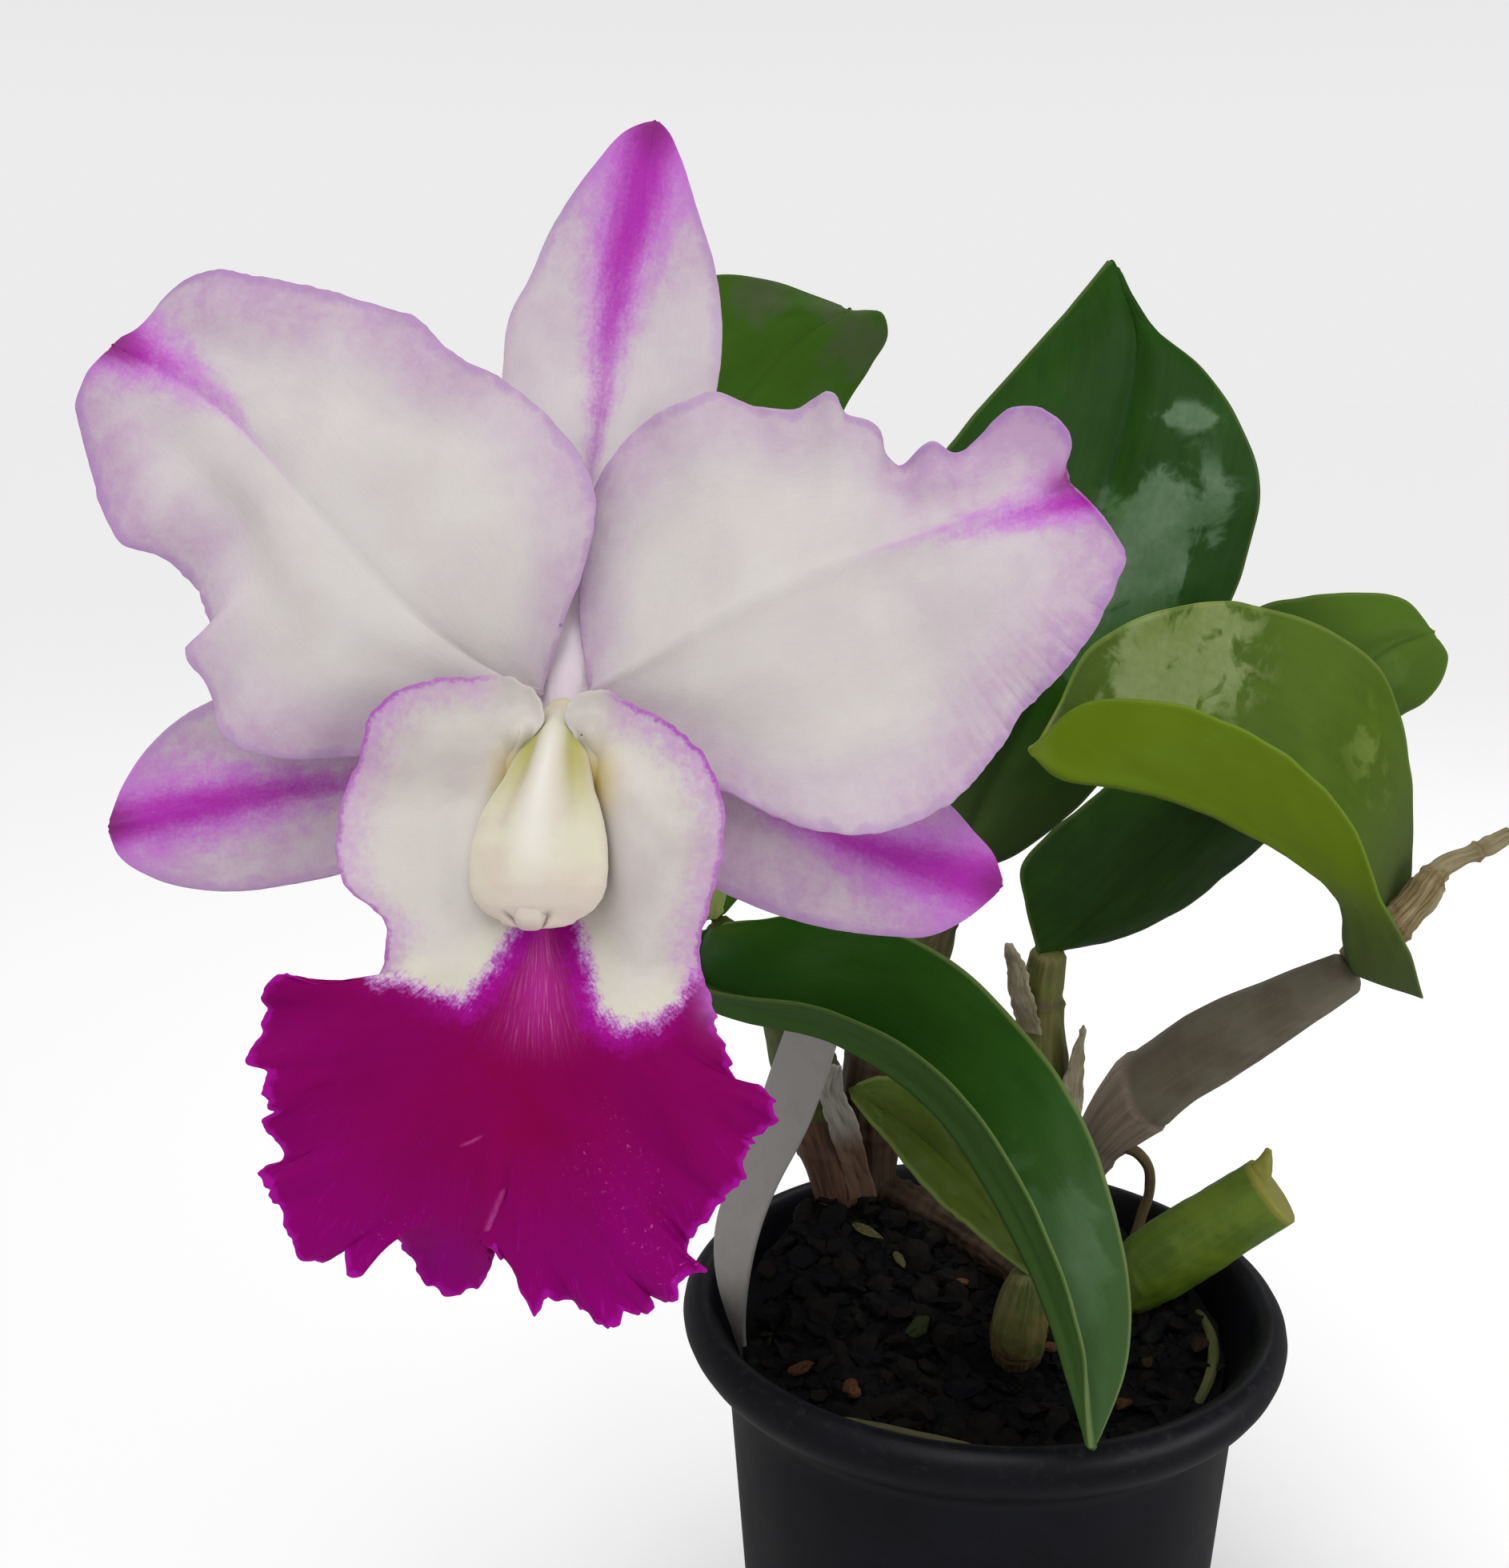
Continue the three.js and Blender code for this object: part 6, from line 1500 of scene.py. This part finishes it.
label = {
    "mid": [[-28.5, -13.5, 144], [-31.3, -11.5, 134], [-34.8, -9.5, 122.3], [-39, -8, 110.8],
        [-41, -6.6, 101], [-41.6, -5.7, 92.5], [-40.5, -5.2, 85.5], [-39.4, -5, 79]],
    "left": [[-32, -10, 143.5], [-35.5, -8, 132.5], [-39, -6, 120], [-44, -4, 105.5], [-44.4, -3, 98],
        [-43.2, -3.6, 91], [-41, -4.5, 85], [-39.6, -4.9, 79]],
    "right": [[-25, -17, 144.5], [-27, -15, 135.5], [-30.5, -13, 124.5], [-34.5, -12, 116],
        [-38, -10, 104.5], [-39.5, -8, 95], [-39.9, -6, 86], [-39.2, -5.2, 79]],
    "grid": [90, 16, 0], "detail": 0, "half": 0.38, "white": "868380", "darkGrey": "625c54",
    "seed": 220,
}


def buildLabel():
    grid = layBlade(label, *label["grid"])
    u = grid["u"]
    lift(grid, 0.12 * softNoise(u * 4, grid["v"], label["seed"]))
    piece = closeSheet("plantLabel", grid, label["half"] + 0 * u, {"alongShare": u})
    material, tree, place = newMaterial("labelPlastic")
    cloud = noise(place, 260.0, 5.0, 0.65)
    scuffs = drawnNoise(place, (1.0, 1.0, 0.25), 3.0, 0.6, 2600.0)
    # darker towards the lower end, in clouds
    darkerLow = wavered(ease(field(tree, "alongShare"), 0.55, 1.0, 0.0, 0.55), cloud, 0.9)
    marks = times(ease(scuffs, 0.6, 0.75), 0.25)
    base = layered(label, "white", [(times(darkerLow, 0.9), "darkGrey"), (marks, "darkGrey")])
    finishSkin(tree, base, between(cloud, 0.35, 0.6), scuffs, 0.02, 0.5, (0.1, (0.5, 0.5, 0.5), 0.6))
    settle(piece, material, "plant_label")


buildLabel()
print("label ready")


pot = {
    "height": 92, "baseRadius": 36.8, "neckRadius": 42.4, "neckHeight": 76, "rimRadius": 50,
    "rimFoot": 80,
    # the rim's profile: how far inside rimRadius and how far below the top
    "rim": [[5.2, 10.6], [3.2, 9], [1.6, 7.6], [0.7, 6.2], [0.15, 4.8], [0, 3.6], [0.25, 2.2], [0.9, 1.1],
        [1.8, 0.3], [2.7, 0], [3.5, 0.15], [4.3, 0.7], [5, 1.6], [5.6, 3]],
    "wall": 1.6, "floor": 1.9, "sides": 180, "drainHoles": 6, "drainRadius": 3.6, "drainCircle": 23,
    "black": "07070f", "worn": "0d0e18", "dustAndSheen": "4c4d50",
}


def potWallAt(z):
    return mix(pot["baseRadius"], pot["neckRadius"], z / pot["neckHeight"])


# A turned shell: a profile of radius and height, closed on the axis at both ends.
def turnedShell(name, profile, sides):
    angle = anglesRound(sides)
    rings = [circleAt(radius, height, angle) for radius, height in profile[1:-1]]
    points = np.concatenate(rings + [[[0, 0, profile[0][1]], [0, 0, profile[-1][1]]]])
    return meshFrom(name, points, sum(ringFaces(len(rings), sides), []), {})


# Takes the evaluated mesh in place of a piece's modifiers.
def bakeModifiers(piece):
    bpy.context.view_layer.update()
    seen = piece.evaluated_get(bpy.context.evaluated_depsgraph_get())
    mesh = bpy.data.meshes.new_from_object(seen)
    piece.modifiers.clear()
    piece.data = mesh
    return piece


def makePotPlastic():
    material, tree, place = newMaterial("potPlastic")
    cloud = noise(place, 55.0, 4.0, 0.6)
    scuffs = noise(place, 500.0, 5.0, 0.65)
    height = fed("ShaderNodeSeparateXYZ", {}, {0: place}, 2)
    # grey on the rim: partly dust, partly a painted sheen where the rim catches the light
    dustAndSheenShare = times(ease(scuffs, 0.52, 0.8), ease(height, 0.086, 0.0915, 0.02, 0.22))  # only the rim takes the dust and its painted sheen
    base = layered(pot, "black", [(ease(cloud, 0.4, 0.7), "worn"), (dustAndSheenShare, "dustAndSheen")])
    rough = plus(between(ease(cloud, 0.35, 0.7), 0.42, 0.52), times(dustAndSheenShare, 0.4))
    finishSkin(tree, base, rough, plus(noise(place, 4200.0, 2.0), times(scuffs, 0.5)), 0.02, 0.26)
    return material


def potProfile():
    base, reach, top = pot["baseRadius"], pot["rimRadius"], pot["height"]
    neck, foot, floor = pot["neckHeight"], pot["rimFoot"], pot["floor"]

    def inside(z):
        return potWallAt(z) - pot["wall"]

    outer = [(0, 0), (base - 3.2, 0), (base - 0.9, 0.1), (base - 0.2, 0.45), (base, 1.1)]
    outer += [(potWallAt(z), z) for z in (6, *np.linspace(12, neck - 6, 9), neck - 1, neck + 2)]
    rim = [(potWallAt(foot) + 0.4, foot)] + [(reach - inset, top - drop) for inset, drop in pot["rim"]]
    inner = [(inside(z), z) for z in (foot + 3, neck, neck - 8, 40, 10)]
    inner += [(inside(floor), floor + 1.2), (inside(floor) - 1.2, floor), (inside(0) - 6, floor), (0, floor)]
    return outer + rim + inner


def buildPot():
    piece = turnedShell("potShell", potProfile(), pot["sides"])
    radius, circle = pot["drainRadius"], pot["drainCircle"]
    cutters = []
    for k in range(pot["drainHoles"]):
        angle = 2 * math.pi * k / pot["drainHoles"]
        hole = turnedShell("drainCutter", [(0, -3), (radius, -3), (radius, 6), (0, 6)], 32)
        centre = (circle * math.cos(angle) * mm, circle * math.sin(angle) * mm, 0)
        hole.data.transform(Matrix.Translation(centre))
        cutters.append(hole)
        cut = piece.modifiers.new("drain", "BOOLEAN")
        cut.operation = "DIFFERENCE"
        cut.object = hole
        cut.solver = "EXACT"
    bakeModifiers(piece)
    for hole in cutters:
        bpy.data.objects.remove(hole)
    settle(piece, makePotPlastic(), "pot")


buildPot()
print("pot ready")


soil = {
    "frontHeight": 79.4, "slope": 0.125, "moundAt": (-25, 23), "moundHeight": 7, "moundWidth": 11,
    "bottom": 2.4, "reach": 40.4, "chipReach": 38.2, "rings": 60, "sides": 150,
    # the bumps' heights and widths, how far they lie below the ground's height, the gap to the pot
    "bumps": [[0.9, 2.6], [0.4, 1.1]],
    "sink": 0.6, "gap": 0.35, "dark": "0b0b0c", "black": "090a0e", "brown": "15110f",
    "orange": "5e3c24", "tan": "5e5636", "moss": "2c351a", "seed": 301, "bitSeed": 310,
    "knobs": 0.35, "bitRise": 1.3,
    # loose bits on top: x, y, length, width, turn in degrees, tone, how mossy
    "bits": [[-30.6, -13.4, 4.6, 2.4, 30, 0.988, 0], [-22.4, -18.5, 4.2, 2.6, 100, 0.989, 0],
        [10.6, -8.2, 3.6, 2.6, 20, 0.99, 0], [-1.9, 9, 2.6, 1.6, 0, 0.99, 0],
        [-10.8, -3.5, 7, 3, 60, 0.2, 1], [-18, 17, 8, 1.9, 130, 1, 0.2], [-12.5, 12.5, 6, 1.6, 100, 1, 0.4],
        [20, -22, 3.4, 2.4, 40, 0.988, 0], [26, -12, 3, 2, 80, 0.987, 0.3],
        [35.5, -7.5, 5, 2.8, 70, 0.987, 0], [36.5, -13.5, 3.6, 2.4, 20, 0.7, 0]],
    "big": {"Spacing": 3.4, "Density": 260000.0, "Seed": 4, "Smallest": 1.9, "Largest": 4.0, "Tilt": 0.8},
    "small": {"Spacing": 1.7, "Density": 700000.0, "Seed": 9, "Smallest": 0.4, "Largest": 1.3, "Tilt": 3.0},
}


def groundHeight(x, y):
    mx, my = soil["moundAt"]
    far = np.hypot(x - mx, y - my) / soil["moundWidth"]
    inner = smooth((pot["neckRadius"] - np.hypot(x, y)) / 7)
    ground = soil["frontHeight"] + soil["slope"] * (y + pot["neckRadius"])
    return ground + soil["moundHeight"] * np.exp(-far * far / 2) * mix(0.3, 1, inner)


# Bark chips scattered over a surface: points, a faceted chip on each, then each one roughened by noise
# that its own tone number shifts.
def makeChipTree():
    tree = bpy.data.node_groups.new("barkChips", "GeometryNodeTree")
    kinds = {"Geometry": "Geometry", "Spacing": "Float", "Density": "Float", "Seed": "Int",
             "Smallest": "Float", "Largest": "Float", "Tilt": "Float", "Material": "Material"}
    for label, kind in kinds.items():
        tree.interface.new_socket(label, in_out="INPUT", socket_type="NodeSocket" + kind)
    tree.interface.new_socket("Geometry", in_out="OUTPUT", socket_type="NodeSocketGeometry")
    given = tree.nodes.new("NodeGroupInput").outputs

    def randomOf(low, high, shift):
        seed = fed("FunctionNodeIntegerMath", {"operation": "ADD"}, {0: given["Seed"], 1: shift})
        return fed("FunctionNodeRandomValue", {"data_type": "FLOAT"}, {"Seed": seed, 2: low, 3: high}, 1)

    def joinXYZ(x, y, z):
        return fed("ShaderNodeCombineXYZ", {}, {0: x, 1: y, 2: z})

    spread = fed("GeometryNodeDistributePointsOnFaces", {"distribute_method": "POISSON"}, {
        "Mesh": given["Geometry"], "Distance Min": given["Spacing"], "Density Max": given["Density"],
        "Seed": given["Seed"]}, "Points")
    chip = node(tree, "GeometryNodeMeshIcoSphere", {}, {"Radius": 1.0, "Subdivisions": 2}).outputs[0]
    leans = [times(randomOf(-1.0, 1.0, shift), given["Tilt"]) for shift in (1, 2)]
    turn = joinXYZ(*leans, randomOf(0.0, 6.283, 3))
    size = randomOf(given["Smallest"], given["Largest"], 4)
    wide = times(size, randomOf(0.55, 0.9, 5))
    flat = times(size, randomOf(0.25, 0.55, 6))
    placed = fed("GeometryNodeInstanceOnPoints", {}, {
        "Points": spread, "Instance": chip, "Rotation": turn, "Scale": joinXYZ(size, wide, flat)})
    toned = fed("GeometryNodeStoreNamedAttribute", {"data_type": "FLOAT", "domain": "INSTANCE"}, {
        "Geometry": placed, "Name": "tone", "Value": randomOf(0.0, 0.97, 7)})
    solid = fed("GeometryNodeRealizeInstances", {}, {"Geometry": toned})
    tone = node(tree, "GeometryNodeInputNamedAttribute", {"data_type": "FLOAT"}, {"Name": "tone"}).outputs[0]
    where = node(tree, "GeometryNodeInputPosition").outputs[0]
    shifted = vectorMaths("ADD", where, joinXYZ(tone, times(tone, 7.0), 0.0))
    rough = fed("ShaderNodeTexNoise", {}, {"Vector": shifted, "Scale": 420.0, "Detail": 2.0}, "Color")
    push = vectorMaths("SUBTRACT", rough, (0.5, 0.5, 0.5))
    feeds = {0: push, "Scale": times(given["Largest"], 0.9)}
    offset = fed("ShaderNodeVectorMath", {"operation": "SCALE"}, feeds)
    moved = fed("GeometryNodeSetPosition", {}, {"Geometry": solid, "Offset": offset})
    dressed = fed("GeometryNodeSetMaterial", {}, {"Geometry": moved, "Material": given["Material"]})
    node(tree, "NodeGroupOutput", {}, {"Geometry": dressed})
    return tree


def scatterOn(name, mesh, tree, sizes, material):
    piece = newObject(name, mesh.copy())
    grow = piece.modifiers.new("scatter", "NODES")
    grow.node_group = tree
    settings = {"Material": material, **sizes}
    for item in tree.interface.items_tree:
        if item.in_out == "INPUT" and item.name in settings:
            isLength = item.name in ("Spacing", "Smallest", "Largest")
            grow[item.identifier] = settings[item.name] * mm if isLength else settings[item.name]
    return bakeModifiers(piece)


def makeBark():
    material, tree, place = newMaterial("bark")
    tone = field(tree, "tone")
    grainy = drawnNoise(place, (1.0, 1.0, 3.0), 4.0, 0.65, 1400.0)
    moss = times(ease(noise(place, 120.0, 4.0, 0.6), 0.6, 0.72), 0.4)
    base = layered(soil, "black", [
        (ease(tone, 0.2, 0.75), "brown"),
        (ease(tone, 0.986, 0.99), "orange"),
        (ease(tone, 0.993, 0.996), "tan"),
        (times(ease(grainy, 0.42, 0.7), 0.6), "dark"),
        (maths("MAXIMUM", moss, times(field(tree, "mossy"), 0.8)), "moss"),
    ])
    finishSkin(tree, base, between(grainy, 0.7, 0.95), grainy, 0.2, 0.12)
    return material


# Loose bits on top: flattened balls with a few knobs.
def buildBits(material):
    rings, sides = 9, 16
    low = np.linspace(-math.pi / 2, math.pi / 2, rings + 2)[1:-1, None]
    ball = circleAt(np.cos(low), np.sin(low), anglesRound(sides)[None, :]).reshape(-1, 3)
    ball = np.concatenate([ball, [[0, 0, -1], [0, 0, 1]]])
    ballFaces = sum(ringFaces(rings, sides), [])
    points, faces = [], []
    for number, (x, y, length, width, turn, _, _) in enumerate(soil["bits"]):
        seed = soil["bitSeed"] + number
        knobs = softNoise(ball[:, 0] * 1.7 + 20, ball[:, 1] * 1.7 + ball[:, 2] * 1.3 + 20, seed)
        shape = ball * (1 + soil["knobs"] * knobs)[:, None] * (length / 2, width / 2, width / 3)
        c = math.cos(math.radians(turn))
        s = math.sin(math.radians(turn))
        shape = shape @ np.array([[c, s, 0], [-s, c, 0], [0, 0, 1]])
        points.append(shape + (x, y, groundHeight(x, y) + soil["bitRise"]))
        faces += [[k + number * len(ball) for k in face] for face in ballFaces]
    tones, mossy = [np.repeat([float(bit[at]) for bit in soil["bits"]], len(ball)) for at in (5, 6)]
    piece = meshFrom("looseBits", np.concatenate(points), faces, {"tone": tones, "mossy": mossy}, False)
    settle(piece, material, "potting_medium")


def buildSoil():
    material = makeBark()
    buildBits(material)
    rings, sides = soil["rings"], soil["sides"]
    angle = anglesRound(sides)
    points = []
    for r in np.linspace(0, soil["reach"], rings + 1)[1:]:
        x, y = r * np.cos(angle), r * np.sin(angle)
        height = groundHeight(x, y)
        bumpy = 0
        for number, (rise, width) in enumerate(soil["bumps"]):
            bumpy = bumpy + rise * softNoise(x / width + 30, y / width + 30, soil["seed"] + number)
        points.append(np.stack([x, y, height + bumpy - soil["sink"]], axis=-1))
    low = potWallAt(soil["bottom"]) - pot["wall"] - soil["gap"]
    points.append(circleAt(low, soil["bottom"], angle))
    middle = [0, 0, groundHeight(0, 0) - soil["sink"]]
    points = np.concatenate(points + [[middle, [0, 0, soil["bottom"]]]])
    quads, cap, bottom = ringFaces(rings + 1, sides, True)
    piece = meshFrom("mediumBody", points, quads + cap + bottom, {"tone": np.full(len(points), 0.15)})
    # chips are scattered from a disc that stops short of the pot's wall
    keep = sides * sum((k + 1) * soil["reach"] / rings <= soil["chipReach"] for k in range(rings))
    faces = [q for q in quads if max(q) < keep] + [[a, b, keep] for a, b, _ in cap]
    disc = bpy.data.meshes.new("chipDisc")
    disc.from_pydata((np.concatenate([points[:keep], [middle]]) * mm).tolist(), [], faces)
    tree = makeChipTree()
    for name in ("big", "small"):
        chips = scatterOn(name + "Chips", disc, tree, soil[name], material)
        chips.data.polygons.foreach_set("use_smooth", [False] * len(chips.data.polygons))
        print(name, "chips", len(chips.data.polygons))
        settle(chips, None, "potting_medium")
    bpy.data.meshes.remove(disc)
    settle(piece, material, "potting_medium")


buildSoil()
print("medium ready")


# horizon and zenith are the sky's brightness low down and overhead, and fade has the heights between which
# it changes. Reflections see only the mirrored share of it, so that the lights stand out in them, and the
# camera sees the share seen.
studio = {
    "horizon": 0.86, "zenith": 0.38, "fade": [0.1, 0.75], "mirrored": 0.3, "floorSize": 60.0,
    "seen": 0.9745, "floor": "fafafa",
    "sun": {"from": (-0.25, -0.45, 0.86), "strength": 1.55, "angle": 50.0},
    "areas": {
        "sideStrip": {"at": (0.75, -0.42, 0.32), "aim": (0.02, 0.0, 0.18), "size": (0.8, 0.22),
            "power": 2.2},
        "backLight": {"at": (0.3, 0.55, 0.75), "aim": (0.0, 0.0, 0.16), "size": (0.2, 0.3), "power": 0.8},
        "topLight": {"at": (-0.1, -0.1, 1.0), "aim": (0.0, 0.0, 0.15), "size": (0.2, 0.3), "power": 0.8},
    },
    "lens": 40.41, "sensor": 36, "near": 0.01, "eye": (-0.038, -0.271, 0.2394), "pitch": 77.3,
}


def turnToward(thing, place, aim):
    thing.location = place
    thing.rotation_euler = (Vector(aim) - Vector(place)).to_track_quat("-Z", "Y").to_euler()


def buildFloor():
    half = studio["floorSize"] / 2
    mesh = bpy.data.meshes.new("floor")
    corners = [(-half, -half, 0), (half, -half, 0), (half, half, 0), (-half, half, 0)]
    mesh.from_pydata(corners, [], [(0, 1, 2, 3)])
    floor = newObject("floor", mesh)
    material, tree, _ = newMaterial("floorPaint")
    finishSkin(tree, paint(studio["floor"]), 0.9, None, 0, 0.1)
    mesh.materials.append(material)
    floor.visible_glossy = False


def buildLights():
    sun = bpy.data.lights.new("softSun", "SUN")
    sun.energy = studio["sun"]["strength"]
    sun.angle = math.radians(studio["sun"]["angle"])
    turnToward(newObject("softSun", sun), studio["sun"]["from"], (0, 0, 0))
    for name, area in studio["areas"].items():
        light = bpy.data.lights.new(name, "AREA")
        light.shape = "RECTANGLE"
        light.size, light.size_y = area["size"]
        light.energy = area["power"]
        turnToward(newObject(name, light), area["at"], area["aim"])


def buildSky():
    world = bpy.data.worlds.new("studioSky")
    world.use_nodes = True
    sky = world.node_tree
    sky.nodes.clear()
    up = fed("ShaderNodeSeparateXYZ", {}, {0: node(sky, "ShaderNodeTexCoord").outputs["Generated"]}, 2)
    ray = node(sky, "ShaderNodeLightPath").outputs
    level = times(ease(up, *studio["fade"], studio["horizon"], studio["zenith"]),
                  between(ray["Is Glossy Ray"], 1.0, studio["mirrored"]),
                  between(ray["Is Camera Ray"], 1.0, studio["seen"]))
    background = node(sky, "ShaderNodeBackground", {}, {"Color": (1.0, 1.0, 1.0, 1.0), "Strength": level})
    node(sky, "ShaderNodeOutputWorld", {}, {"Surface": background.outputs[0]})
    scene.world = world
    scene.view_settings.view_transform = "Standard"


def buildCamera():
    camera = bpy.data.cameras.new("camera")
    camera.lens = studio["lens"]
    camera.sensor_width = studio["sensor"]
    camera.clip_start = studio["near"]
    eye = newObject("camera", camera)
    eye.location = studio["eye"]
    eye.rotation_euler = (math.radians(studio["pitch"]), 0, 0)
    scene.camera = eye


buildFloor()
buildLights()
buildSky()
buildCamera()
print("studio ready")
